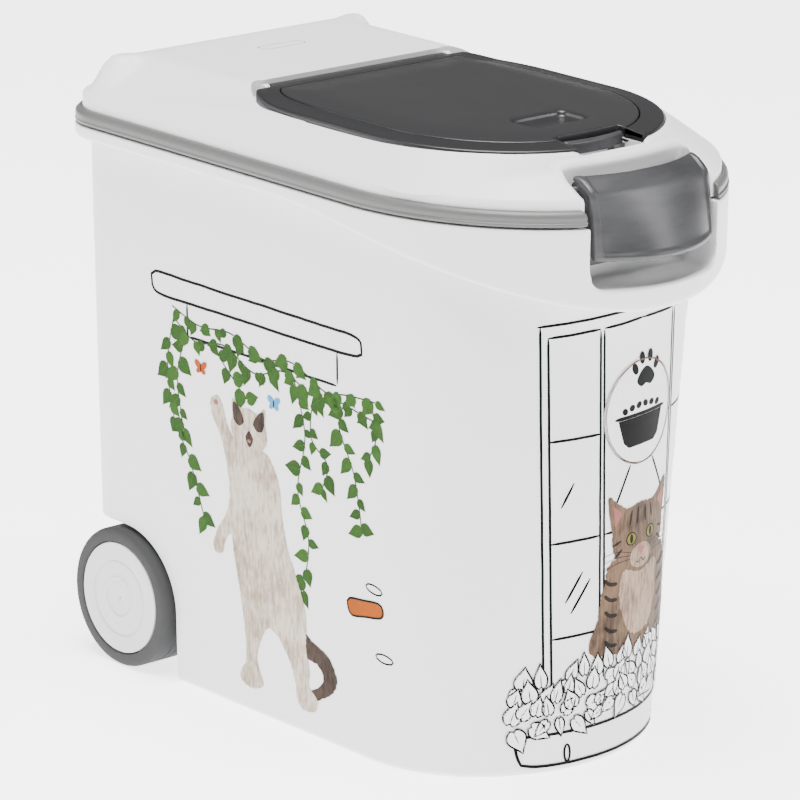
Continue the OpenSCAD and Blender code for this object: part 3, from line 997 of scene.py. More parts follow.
# Wheel profiles: radius, and distance inwards from the outer face, or outwards from the inner face.
TREAD_OUTER = (
    (39.6, 1.4), (39.9, 0.5), (40.6, 0), (43.5, 0), (46.2, 0.35), (47.8, 1.1), (48.6, 2.2), (49.0, 3.6),
    (49.0, 14), (48.55, 14.3), (48.55, 15.2), (49.0, 15.5),
)
TREAD_INNER = (
    (49.0, 15.5), (48.55, 15.2), (48.55, 14.3), (49.0, 14), (49.0, 3), (48.6, 1.7), (47.6, 0.5), (46, 0),
    (40.4, 0), (39.6, 0.6),
)
DISC = (
    (4.1, 8), (38.6, 8), (39.0, 6), (39.0, 1.2), (38.8, 0.5), (38.2, 0.1), (37.4, 0), (33, -0.05),
    (28.6, 0), (27.7, 0.1), (27.2, 0.55), (26.8, 1.0), (26.2, 1.0), (25.7, 0.65), (25, 0.5), (20, 0.35),
    (15.8, 0.4), (14.9, 0.1), (14.4, -0.25), (13.9, -0.3), (13.4, -0.2), (12.9, 0.3), (12.3, 0.75),
    (8, 0.7), (3.6, 0.7), (2.4, 0.9), (1.2, 1.5), (0.4, 1.7), (0.4, 8),
)
CORE_INNER = (
    (4.1, 0.4), (11, 0.4), (11, 12), (35.4, 12), (35.4, 0.6), (35.8, 0.2), (39.0, 0.2), (39.3, 0.6),
)


def make_wheel(side, word):
    """Tread, outer face and ribbed body of one wheel."""
    cx, cz = WHEEL_AXIS
    outer = WHEEL_OUTER
    inner = WHEEL_INNER
    tread = [(r, outer - d) for r, d in TREAD_OUTER] + [(r, inner + d) for r, d in TREAD_INNER]
    tyre = lathe("tyre_tread_" + word, tread, (cx, cz), side)
    disc = [(r, outer - d) for r, d in DISC]
    face = lathe("wheel_face_" + word, disc, (cx, cz), side)
    back = [(r, inner + d) for r, d in CORE_INNER] + [(39.3, outer - 4), (35.4, outer - 4)]
    back += [(35.4, inner + 15), (11, inner + 15), (11, outer - 14), (4.1, outer - 14)]
    core = lathe("wheel_body_" + word, back, (cx, cz), side)
    web = []
    section = [(-1, 10.6), (1, 10.6), (1, 35.8), (-1, 35.8)]
    centre = Matrix.Translation((cx * MM, 0, cz * MM))
    for k in range(6):
        angle = math.radians(60 * k + 30)
        rib = across_prism("wheel_rib", section, side * (inner + 3), side * (inner + 12.4))
        rib.data.transform(centre @ Matrix.Rotation(angle, 4, "Y"))
        web.append(rib)
    join(core, web)
    return tyre, face, core


# ---------- Finishes ----------

class Wire:
    """A socket of a finish, so that sums of sockets are written as plain expressions."""

    def __init__(self, finish, socket):
        self.finish = finish
        self.socket = socket

    def sum_with(self, operation, other, swapped=False):
        first, second = (other, self) if swapped else (self, other)
        return self.finish.node("ShaderNodeMath", {"operation": operation}, {0: first, 1: second})

    def __add__(self, other):
        return self.sum_with("ADD", other)

    def __radd__(self, other):
        return self.sum_with("ADD", other, True)

    def __sub__(self, other):
        return self.sum_with("SUBTRACT", other)

    def __rsub__(self, other):
        return self.sum_with("SUBTRACT", other, True)

    def __mul__(self, other):
        return self.sum_with("MULTIPLY", other)

    def __rmul__(self, other):
        return self.sum_with("MULTIPLY", other, True)


class Finish:
    """A node material with one Principled shader, built up by its own methods."""

    def __init__(self, name, **constants):
        self.material = bpy.data.materials.new(name)
        self.material.use_nodes = True
        self.tree = self.material.node_tree
        self.tree.nodes.clear()
        output = self.tree.nodes.new("ShaderNodeOutputMaterial")
        self.shader = self.tree.nodes.new("ShaderNodeBsdfPrincipled")
        self.tree.links.new(self.shader.outputs[0], output.inputs[0])
        for key, value in constants.items():
            self.shader.inputs[key.replace("_", " ")].default_value = value

    def node(self, kind, settings=None, sockets=None, out=0):
        made = self.tree.nodes.new(kind)
        for key, value in (settings or {}).items():
            if key == "stops":
                self.set_stops(made.color_ramp, value)
            else:
                setattr(made, key, value)
        for key, value in (sockets or {}).items():
            if isinstance(value, Wire):
                self.tree.links.new(value.socket, made.inputs[key])
            else:
                made.inputs[key].default_value = value
        return Wire(self, made.outputs[out])

    def set_stops(self, ramp, stops):
        while len(ramp.elements) < len(stops):
            ramp.elements.new(0.5)
        for element, (place, colour) in zip(ramp.elements, stops):
            element.position = place
            element.color = colour

    def feed(self, name, wire):
        self.tree.links.new(wire.socket, self.shader.inputs[name])

    def place(self):
        """Place on the piece in metres."""
        return self.node("ShaderNodeTexCoord", out="Object")

    def noise(self, vector, scale, detail=2.0, rough=0.5, stretch=None):
        if stretch:
            sockets = {"Vector": vector, "Scale": stretch}
            vector = self.node("ShaderNodeMapping", {"vector_type": "POINT"}, sockets)
        sockets = {"Vector": vector, "Scale": scale, "Detail": detail, "Roughness": rough}
        return self.node("ShaderNodeTexNoise", None, sockets, "Fac")

    def ramp(self, value, low, high):
        """0 below low, 1 above high, with soft ends."""
        return self.node("ShaderNodeMapRange", {"interpolation_type": "SMOOTHSTEP"},
                         {"Value": value, "From Min": low, "From Max": high})

    def blend(self, first, second, factor):
        return self.node("ShaderNodeMix", {"data_type": "RGBA", "blend_type": "MIX"},
                         {0: factor, 6: first, 7: second}, 2)

    def bump(self, height, strength, distance):
        sockets = {"Height": height, "Strength": strength, "Distance": distance}
        self.feed("Normal", self.node("ShaderNodeBump", None, sockets))


def shade(colour, factor):
    """A colour with its brightness changed by a factor, in four numbers."""
    return tuple(min(1.0, c * factor) for c in colour[:3]) + (1.0,)


def moulded(name, colour, rough, grain, mottle, wear=0.0):
    """Injection-moulded plastic: faint flow clouds, fine spark-eroded grain, light handling marks."""
    finish = Finish(name)
    place = finish.place()
    clouds = finish.noise(place, 9.0, 3.0, 0.55)
    patches = finish.noise(place, 55.0, 2.0)
    base = finish.blend(shade(colour, 1 - mottle), shade(colour, 1 + mottle), finish.ramp(clouds, 0.3, 0.7))
    if wear:
        scuffs = finish.noise(place, 160.0, 4.0, 0.7, (1, 1, 0.12))
        marks = finish.ramp(scuffs, 0.66, 0.74) * finish.ramp(clouds, 0.45, 0.6)
        base = finish.blend(base, shade(colour, 1 + wear), marks * 0.5)
    finish.feed("Base Color", base)
    finish.feed("Roughness", rough - 0.05 + 0.1 * patches + 0.04 * clouds)
    fine = finish.noise(place, grain, 2.0, 0.6)
    finish.bump(fine, 0.12, 0.00025)
    return finish.material


def streaked_plastic(name, dark, light, rough):
    """Pearl-filled plastic whose flakes show where it flowed in the mould."""
    finish = Finish(name, Metallic=0.3, Coat_Weight=0.12, Coat_Roughness=0.25, Specular_IOR_Level=0.35)
    place = finish.place()
    wide = finish.noise(place, 16.0, 3.0, 0.6, (0.6, 0.5, 1.6))
    swirl = finish.noise(place, 42.0, 5.0, 0.65, (0.5, 0.35, 1.8))
    flakes = finish.noise(place, 1500.0, 1.0)
    flow = finish.ramp(0.6 * wide + 0.4 * swirl, 0.36, 0.64)
    base = finish.blend(dark, light, flow * 0.8 + 0.2 * flakes)
    finish.feed("Base Color", base)
    finish.feed("Roughness", rough + 0.12 * swirl - 0.05 * wide)
    finish.bump(0.7 * swirl + 0.3 * flakes, 0.06, 0.0003)
    return finish.material


def brushed_steel(name):
    finish = Finish(name, Metallic=1.0)
    place = finish.place()
    lines = finish.noise(place, 300.0, 3.0, 0.6, (1, 0.08, 1))
    finish.feed("Base Color", finish.blend((0.5, 0.5, 0.52, 1), (0.66, 0.66, 0.68, 1), lines))
    finish.feed("Roughness", 0.22 + 0.2 * lines)
    finish.bump(lines, 0.1, 0.0002)
    return finish.material


def soft_rubber(name, colour):
    finish = Finish(name, Specular_IOR_Level=0.3)
    place = finish.place()
    dust = finish.noise(place, 90.0, 4.0, 0.6)
    finish.feed("Base Color", finish.blend(shade(colour, 0.9), shade(colour, 1.12), dust))
    finish.feed("Roughness", 0.68 + 0.12 * dust)
    finish.bump(finish.noise(place, 2600.0, 2.0), 0.15, 0.0002)
    return finish.material


def ink(name, colour, second=None):
    """Printed ink: a thin even film with slight density changes."""
    finish = Finish(name, Specular_IOR_Level=0.05)
    place = finish.place()
    density = finish.noise(place, 260.0, 3.0, 0.6)
    wide = finish.noise(place, 24.0, 2.0)
    other = second or shade(colour, 1.18)
    depth = finish.ramp(0.5 * density + 0.5 * wide, 0.36, 0.64)
    finish.feed("Base Color", finish.blend(colour, other, depth))
    finish.feed("Roughness", 0.42 + 0.08 * density)
    finish.bump(density, 0.04, 0.0001)
    return finish.material


# ---------- Drawing on the tub's wall ----------

WALL_TABLES = {}


def wall_table(z):
    """Lengths along the tub's wall round the nose at one height, kept for the next call."""
    key = round(z * 2)
    if key not in WALL_TABLES:
        shape = tub_plan(key / 2)
        reach = shape["front"] - shape["start"]
        lengths = [0.0]
        angles = [0.0]
        for k in range(180):
            a0 = math.pi * k / 180
            a1 = math.pi * (k + 1) / 180
            dx = reach * (math.sin(a1) - math.sin(a0))
            dy = shape["half"] * (math.cos(a1) - math.cos(a0))
            lengths.append(lengths[-1] + math.hypot(dx, dy))
            angles.append(a1)
        WALL_TABLES[key] = (shape, reach, lengths, angles)
    return WALL_TABLES[key]


def on_wall(u, z, lift):
    """Place on the tub's wall: u runs forward along the left side and on round the nose."""
    shape, reach, lengths, angles = wall_table(z)
    run = u - shape["start"]
    exact = tub_plan(z)
    grow = exact["half"] - shape["half"]
    if run <= 0:
        return u, -(exact["half"] + lift), z
    if run >= lengths[-1]:
        return shape["start"] - (run - lengths[-1]), exact["half"] + lift, z
    low = 0
    high = 180
    while high - low > 1:
        middle = (low + high) // 2
        if lengths[middle] <= run:
            low = middle
        else:
            high = middle
    part = (run - lengths[low]) / (lengths[high] - lengths[low])
    angle = mix(angles[low], angles[high], part)
    nx = math.sin(angle) / reach
    ny = -math.cos(angle) / shape["half"]
    size = math.hypot(nx, ny)
    x = shape["start"] + reach * math.sin(angle)
    y = -shape["half"] * math.cos(angle)
    return x + (lift + grow) * nx / size, y + (lift + grow) * ny / size, z


def smooth_path(marks, closed=False, spacing=2.0):
    """Curve through marks, with places about spacing apart."""
    count = len(marks)
    found = []
    for k in range(count if closed else count - 1):
        if closed:
            p0, p1, p2, p3 = (marks[(k + j) % count] for j in (-1, 0, 1, 2))
        else:
            p0 = marks[max(0, k - 1)]
            p1 = marks[k]
            p2 = marks[k + 1]
            p3 = marks[min(count - 1, k + 2)]
        parts = max(1, int(math.hypot(p2[0] - p1[0], p2[1] - p1[1]) / spacing))
        for j in range(parts):
            t = j / parts
            place = []
            for a, b, c, d in zip(p0, p1, p2, p3):
                place.append(0.5 * (2 * b + (c - a) * t + (2 * a - 5 * b + 4 * c - d) * t * t
                                    + (3 * b - a - 3 * c + d) * t ** 3))
            found.append(tuple(place))
    if not closed:
        found.append(tuple(marks[-1]))
    return found


class Sheet:
    """Collects printed shapes that lie on the tub's wall as one thin piece."""

    def __init__(self, name, lift):
        self.name = name
        self.lift = lift
        self.work = bmesh.new()

    def fill(self, outline, lift=0.0):
        """Fills a closed outline of (u, z) places."""
        work = bmesh.new()
        corners = [work.verts.new((u, z, 0)) for u, z in outline]
        work.faces.new(corners)
        bmesh.ops.triangulate(work, faces=work.faces[:])
        low = min(u for u, z in outline)
        high = max(u for u, z in outline)
        k = math.ceil(max(low, 66.0) / 3.0)
        while k * 3.0 < high:
            geometry = work.verts[:] + work.edges[:] + work.faces[:]
            bmesh.ops.bisect_plane(work, geom=geometry, plane_co=(k * 3.0, 0, 0), plane_no=(1, 0, 0))
            k += 1
        for z in range(30, 330, 30):
            geometry = work.verts[:] + work.edges[:] + work.faces[:]
            bmesh.ops.bisect_plane(work, geom=geometry, plane_co=(0, z, 0), plane_no=(0, 1, 0))
        self.take(work, lift)

    def line(self, path, width, closed=False, lift=0.0):
        """Draws a stroke of a given width along a path, with narrowed ends unless it is closed."""
        count = len(path)
        work = bmesh.new()
        rows = []
        for k, place in enumerate(path):
            before = path[(k - 1) % count] if closed else path[max(0, k - 1)]
            after = path[(k + 1) % count] if closed else path[min(count - 1, k + 1)]
            du, dz = unit(before, after)
            half = width / 2
            if not closed and (k == 0 or k == count - 1):
                half *= 0.45
            nu, nz = -dz * half, du * half
            rows.append([
                work.verts.new((place[0] + nu, place[1] + nz, 0)),
                work.verts.new((place[0] - nu, place[1] - nz, 0)),
            ])
        for k in range(count if closed else count - 1):
            a, b = rows[k], rows[(k + 1) % count]
            work.faces.new((a[0], a[1], b[1], b[0]))
        self.take(work, lift)

    def take(self, work, lift):
        for vertex in work.verts:
            vertex.co = on_wall(vertex.co.x, vertex.co.y, self.lift + lift)
        spare = bpy.data.meshes.new("spare")
        work.to_mesh(spare)
        work.free()
        self.work.from_mesh(spare)
        bpy.data.meshes.remove(spare)

    def finish(self, material):
        for vertex in self.work.verts:
            vertex.co *= MM
        bmesh.ops.remove_doubles(self.work, verts=self.work.verts[:], dist=1e-7)
        mesh = bpy.data.meshes.new(self.name)
        self.work.to_mesh(mesh)
        self.work.free()
        face_outwards(mesh)
        mesh.shade_smooth()
        piece = bpy.data.objects.new(self.name, mesh)
        bpy.context.scene.collection.objects.link(piece)
        piece.data.materials.append(material)
        return piece


def face_outwards(mesh):
    """Turns the faces of a sheet so that they look away from the tub."""
    work = bmesh.new()
    work.from_mesh(mesh)
    middle = Vector((-0.02, 0, 0))
    for face in work.faces:
        out = face.calc_center_median() - middle
        out.z = 0
        if face.normal.dot(out) < 0:
            face.normal_flip()
    work.to_mesh(mesh)
    work.free()


# ---------- What a user can change ----------

def colour_choice(name, description, default):
    return bpy.props.FloatVectorProperty(
        name=name, description=description, subtype="COLOR", size=4, min=0, max=1, default=default)


class FoodBinSizes(bpy.types.PropertyGroup):
    line_width: bpy.props.FloatProperty(
        name="Line width", description="Width of the drawn black lines",
        default=0.0021, min=0.0004, max=0.004, unit="LENGTH")
    leaf_length: bpy.props.FloatProperty(
        name="Leaf length", description="Length of the printed vine leaves",
        default=0.0125, min=0.005, max=0.03, unit="LENGTH")
    print_lift: bpy.props.FloatProperty(
        name="Print lift", description="How far the printed film stands off the wall",
        default=0.00012, min=0.00005, max=0.0005, unit="LENGTH")
    floor_reach: bpy.props.FloatProperty(
        name="Floor reach", description="Half the width of the pale floor",
        default=9.0, min=2.0, max=20.0, unit="LENGTH")
    camera_distance: bpy.props.FloatProperty(
        name="Camera distance", description="Distance from the camera to the middle of the bin",
        default=3.29815, min=1.0, max=8.0, unit="LENGTH")
    camera_turn: bpy.props.FloatProperty(
        name="Camera turn", description="Turn of the camera about the upright axis, from the left side",
        default=math.radians(47.8332), subtype="ANGLE")
    camera_height: bpy.props.FloatProperty(
        name="Camera height angle", description="Angle of the camera above the floor",
        default=math.radians(16.7844), subtype="ANGLE")
    camera_roll: bpy.props.FloatProperty(
        name="Camera roll", description="Tilt of the picture",
        default=math.radians(0.985), subtype="ANGLE")
    lens: bpy.props.FloatProperty(
        name="Lens", description="Focal length in millimetres on a 36 mm sensor",
        default=220.49, min=20.0, max=400.0)


class FoodBinColours(bpy.types.PropertyGroup):
    shell: colour_choice("Shell", "Tub and lid", (0.78, 0.78, 0.785, 1))
    band: colour_choice("Grip band", "Band round the lid", (0.098, 0.098, 0.096, 1))
    flap: colour_choice("Flap", "Middle of the dispensing flap", (0.017, 0.017, 0.018, 1))
    border: colour_choice("Flap border", "Border of the flap", (0.012, 0.012, 0.013, 1))
    grip: colour_choice("Latch", "Latch handle and catch bar", (0.05, 0.05, 0.053, 1))
    tyre: colour_choice("Tyre", "Tread of the wheels", (0.036, 0.036, 0.037, 1))
    disc: colour_choice("Wheel disc", "Face of the wheels", (0.62, 0.62, 0.625, 1))
    ink: colour_choice("Line ink", "Black drawn lines", (0.002, 0.002, 0.0022, 1))
    leaf: colour_choice("Leaf green", "Printed vine leaves", (0.016, 0.048, 0.006, 1))


def sizes():
    return bpy.context.scene.food_bin_sizes


def colours():
    return bpy.context.scene.food_bin_colours


def tone(name):
    return tuple(getattr(colours(), name))


def dress(piece, material, body, slot, *nodes):
    """Gives a piece its finish, its body and the nodes that it stands for; the slot argument is not used."""
    piece.data.materials.clear()
    piece.data.materials.append(material)
    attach(piece, body)
    if nodes:
        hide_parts(*nodes)


def dress_node(name, material):
    """Gives a CAD node that stays its finish."""
    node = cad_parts[name]
    for place in node.material_slots:
        place.material = material


def finish_named(name, maker):
    """A finish is made once and then used again."""
    return bpy.data.materials.get(name) or maker()


def shell_finish():
    return finish_named("shell_plastic", lambda: moulded(
        "shell_plastic", tone("shell"), 0.36, 1900.0, 0.008, 0.02))


def grip_finish():
    return finish_named("grip_pearl", lambda: streaked_plastic(
        "grip_pearl", shade(tone("grip"), 0.72), shade(tone("grip"), 1.4), 0.36))


def seal_finish():
    return finish_named("seal_rubber_soft", lambda: soft_rubber("seal_rubber_soft", (0.12, 0.12, 0.12, 1)))


def steel_finish():
    return finish_named("axle_steel", lambda: brushed_steel("axle_steel"))


# ---------- Printed shapes ----------
# Places of the printed shapes: how far along the wall, and how high.
SHELF = (
    (-140.4, 284), (-136.5, 290.4), (-100, 290.6), (-35, 290.5), (30, 290.4), (62, 290.5),
    (70.5, 287.1), (71, 282), (66.5, 277.4), (30, 275.8), (-35, 275.6), (-100, 275.2),
    (-129, 275.2), (-138.2, 277.6),
)
VINES = (
    ((-118, 262), (-96, 250), (-66, 254), (-36, 242), (-6, 250), (24, 240), (52, 248), (84, 250)),
    ((-120, 270), (-92, 262), (-60, 264), (-28, 254), (2, 258), (34, 246), (64, 240), (88, 236)),
    ((-118, 264), (-126, 228), (-120, 190), (-105, 165), (-91, 127)),
    ((-106, 252), (-116, 222), (-111, 185)),
    ((-78, 252), (-66, 240), (-44, 222)),
    ((2, 252), (14, 212), (6, 172), (16, 138), (9, 102)),
    ((24, 244), (20, 212), (36, 196), (30, 178)),
    ((56, 246), (48, 226), (62, 196), (69, 160)),
    ((80, 248), (84, 226), (76, 210)),
)
CAT = (
    (-81, 205), (-82, 213), (-76, 218), (-70, 214), (-66, 203), (-60, 193), (-50, 190), (-34, 190),
    (-22, 186), (-13, 170), (-10, 146), (-5, 126), (6, 104), (12, 84), (12, 62), (15, 46), (14, 36),
    (22, 29), (20, 20), (8, 18), (2, 24), (0, 36), (-6, 50), (-16, 62), (-26, 66), (-34, 56),
    (-39, 42), (-36, 31), (-33, 23), (-44, 18), (-55, 21), (-56, 28), (-50, 38), (-51, 60),
    (-55, 84), (-61, 112), (-63, 124), (-70, 116), (-72, 108), (-79, 106), (-82, 112), (-77, 124),
    (-68, 136), (-64, 150), (-66, 172), (-72, 190),
)
CAT_HEAD = (
    (-61, 200), (-59, 208), (-59, 220), (-51, 215), (-42, 216), (-34, 214), (-26, 219), (-26, 208),
    (-24, 199), (-29, 190), (-42, 186), (-56, 190),
)
CAT_TAIL = (
    (6, 74), (20, 68), (33, 63), (42, 51), (40, 40), (28, 31), (17, 27), (16, 33), (25, 39),
    (29, 46), (24, 53), (8, 58),
)
SITTER = (
    (257, 140), (246, 124), (241, 104), (238, 76), (330, 76), (327, 104), (322, 124), (311, 140),
)
SITTER_HEAD = (
    (254, 146), (253, 160), (250, 184), (262, 177), (270, 173), (284, 175), (298, 173), (306, 177),
    (318, 184), (315, 160), (314, 146), (306, 134), (294, 128), (284, 126), (274, 128), (262, 134),
)
CAT_EARS_LEFT = (
    (-58, 206), (-58, 218), (-51, 214), (-47, 206), (-52, 202),
)
CAT_EARS_RIGHT = (
    (-27, 206), (-27, 217), (-34, 213), (-38, 206), (-32, 202),
)
CAT_NOSE_PATCH = (
    (-46, 196), (-42, 201), (-38, 196), (-42, 189),
)
SITTER_CHEST = (
    (266, 130), (261, 112), (268, 90), (284, 82), (300, 90), (307, 112), (302, 130),
)
SITTER_MOUTH = (
    (278, 134), (281, 132.4), (284, 135), (287, 132.4), (290, 134),
)
SITTER_NOSE = (
    (280, 142), (284, 143), (288, 142), (284, 137.6),
)
ORANGE_MARK = (
    (54, 105), (56, 110), (70, 112), (84, 113.4), (88, 110), (86.5, 104), (72, 101), (58, 98.8),
)
PLANTER = (
    (176, 28), (179, 12), (188, 7), (236, 6), (284, 6), (332, 6), (380, 7), (389, 12), (392, 28),
)
PAW = (
    (287, 268), (293, 265), (297, 259), (292, 254.6), (287, 256.4), (282, 254.6), (277, 259),
    (281, 265),
)
PAW_TOES = (
    (275.4, 268, 0.5), (282.6, 274.4, 0.15), (291.4, 274.4, -0.15), (298.6, 268, -0.5),
)
BOWL = (
    (259, 235), (307, 235), (302, 219), (297, 215), (269, 215), (264, 219),
)
# Half of the window from its middle line outwards: frame, mullions, cross bars and glints.
WINDOW_MIDDLE = 284
WINDOW_BARS = (
    ((87, 53), (85, 308)), ((81, 56), (79.5, 300)), ((43, 60), (39.5, 300)), ((39, 60), (36.5, 300)),
    ((87, 308), (0, 310)), ((79.5, 300), (39.5, 301)), ((36.5, 301), (0, 302)),
    ((80.6, 230), (40, 230)), ((37, 230), (0, 230)), ((80.8, 160), (41, 160)), ((38, 160), (0, 160)),
    ((81, 94), (42, 94)),
    ((70, 118), (56, 138)), ((66, 110), (50, 132)), ((72, 184), (62, 200)), ((28, 176), (12, 204)),
)
# Half of a leaf's edge: shares of its length and of half its width.
LEAF_EDGE = (
    (0.06, 0.0), (-0.04, 0.3), (0.06, 0.7), (0.26, 0.95), (0.46, 0.86), (0.68, 0.5), (0.87, 0.16),
)


def turned(u, z, a, b, turn):
    """Place that lies a along and b across a direction from (u, z)."""
    return u + a * math.cos(turn) - b * math.sin(turn), z + a * math.sin(turn) + b * math.cos(turn)


def oval(u, z, half_u, half_z, count=32, turn=0.0):
    found = []
    for k in range(count):
        angle = 2 * math.pi * k / count
        found.append(turned(u, z, half_u * math.cos(angle), half_z * math.sin(angle), turn))
    return found


def straight(a, b, spacing=6.0):
    """Places along a straight line from a to b."""
    count = max(1, int(math.hypot(b[0] - a[0], b[1] - a[1]) / spacing))
    return [(mix(a[0], b[0], k / count), mix(a[1], b[1], k / count)) for k in range(count + 1)]


def leaf_outline(u, z, turn, length, wide):
    """Heart-shaped leaf that grows from its stalk in the direction of turn."""
    half = []
    for along, across in LEAF_EDGE:
        half.append((along * length, across * wide * length / 2))
    shape = half + [(length, 0.0)] + [(a, -b) for a, b in half[:0:-1]]
    return [turned(u, z, a, b, turn) for a, b in shape]


def hand_drawn(path, rng, wobble=0.35):
    """A line with the slight waver of a hand-held pen."""
    drift = 0.0
    found = []
    for u, z in path:
        drift = 0.82 * drift + rng.uniform(-wobble, wobble) * 0.4
        found.append((u + drift * 0.6, z + drift))
    return found


def print_sheet(name, level):
    return Sheet(name, sizes().print_lift / MM + 0.05 * level)


def put_print(sheet, material):
    dress(sheet.finish(material), material, "bin", "white_shell")


def line_ink():
    return finish_named("line_ink", lambda: ink("line_ink", tone("ink")))


def paper_ink():
    return finish_named("paper_ink", lambda: ink("paper_ink", (0.8, 0.8, 0.8, 1), (0.84, 0.84, 0.84, 1)))


def make_shelf_prints():
    """Shelf bar drawn in line, hanging vines, two butterflies and three small marks."""
    rng = random.Random(11)
    width = sizes().line_width / MM
    length = sizes().leaf_length / MM
    lines = print_sheet("print_shelf_lines", 0)
    lines.line(hand_drawn(smooth_path(SHELF, True, 3.0), rng, 0.25), width, True)
    for a, b in (((-104, 275), (-104, 247)), ((47, 275), (47, 254)), ((-102, 252), (46, 252.5))):
        lines.line(hand_drawn(straight(a, b, 4.0), rng), width * 0.9)
    stems = print_sheet("print_vine_stems", 1)
    dark = print_sheet("print_vine_leaves", 2)
    pale = print_sheet("print_vine_leaves_pale", 3)
    veins = print_sheet("print_leaf_veins", 4)
    for k, vine in enumerate(VINES):
        path = smooth_path(vine, False, 1.5)
        stems.line(path, 1.0)
        gap = 0.0
        side = 1 if k % 2 else -1
        for j in range(1, len(path)):
            du, dz = path[j][0] - path[j - 1][0], path[j][1] - path[j - 1][1]
            gap += math.hypot(du, dz)
            if gap < (8.2 if k > 1 else 7.0) and j != len(path) - 1:
                continue
            gap = rng.uniform(-1.5, 1.0)
            side = -side
            turn = math.atan2(dz, du) + side * rng.uniform(0.5, 1.35)
            if k < 2:
                turn = -math.pi / 2 + side * rng.uniform(0.2, 1.3)
            size = length * rng.uniform(0.72, 1.3)
            sheet = dark if rng.random() < 0.6 else pale
            outline = leaf_outline(*path[j], turn, size, rng.uniform(0.62, 0.86))
            sheet.fill(outline, 0.02 * rng.random())
            tip = (path[j][0] + 0.8 * size * math.cos(turn), path[j][1] + 0.8 * size * math.sin(turn))
            veins.line(straight(path[j], tip, 4.0), 0.32)
    put_print(lines, line_ink())
    put_print(stems, ink("stem_ink", (0.014, 0.04, 0.006, 1)))
    put_print(dark, ink("leaf_ink", tone("leaf"), shade(tone("leaf"), 1.35)))
    put_print(pale, ink("leaf_ink_pale", shade(tone("leaf"), 1.25), shade(tone("leaf"), 1.8)))
    put_print(veins, ink("vein_ink", (0.035, 0.09, 0.014, 1)))
    butterflies = (
        ("orange", -91, 233, (0.3, 0.05, 0.004, 1)),
        ("blue", -16.6, 225.5, (0.05, 0.24, 0.42, 1)),
    )
    for word, u, z, colour in butterflies:
        wings = print_sheet("print_butterfly_" + word, 5)
        for side in (-1, 1):
            wings.fill(oval(u + side * 3.2, z + 2.2, 3.6, 2.3, 20, side * 0.7))
            wings.fill(oval(u + side * 2.4, z - 2.0, 2.6, 1.8, 20, -side * 0.6), 0.01)
        put_print(wings, ink("butterfly_ink_" + word, colour))
        trunk = print_sheet("print_butterfly_body_" + word, 6)
        trunk.fill(oval(u, z, 0.6, 3.2, 14))
        for side in (-1, 1):
            trunk.line(straight((u, z + 2.6), (u + side * 2.2, z + 5.2), 2.0), 0.3)
        put_print(trunk, line_ink())
    marks = print_sheet("print_marks", 0)
    slab = smooth_path(ORANGE_MARK, True)
    marks.line(slab, width * 0.7, True, 0.06)
    for u, z, half in ((80, 122, 7.8), (88.5, 76, 7.4)):
        marks.line(smooth_path(oval(u, z, half, 2.9, 10, -0.12), True), width * 0.6, True)
    put_print(marks, line_ink())
    fill = print_sheet("print_mark_orange", 0)
    fill.fill(slab)
    put_print(fill, ink("mark_orange_ink", (0.27, 0.058, 0.002, 1)))


def fur(name, light, dark):
    """Printed fur: short hair strokes that run down the body, over soft patches."""
    finish = Finish(name, Specular_IOR_Level=0.05)
    place = finish.place()
    strokes = finish.noise(place, 420.0, 4.0, 0.65, (1, 1, 0.22))
    patches = finish.noise(place, 38.0, 3.0, 0.6)
    depth = finish.ramp(0.55 * strokes + 0.45 * patches, 0.36, 0.66)
    finish.feed("Base Color", finish.blend(light, dark, depth))
    finish.feed("Roughness", 0.42 + 0.08 * strokes)
    finish.bump(strokes, 0.04, 0.0001)
    return finish.material


def tufts(marks, rng, reach):
    """Closed outline with the small points of hair along it."""
    path = smooth_path(marks, True, 2.2)
    found = []
    count = len(path)
    for k, (u, z) in enumerate(path):
        before, after = path[k - 1], path[(k + 1) % count]
        du, dz = unit(before, after)
        push = reach * rng.uniform(-0.15, 0.5) * (1 if k % 2 else -0.3)
        found.append((u + dz * push, z - du * push))
    return found


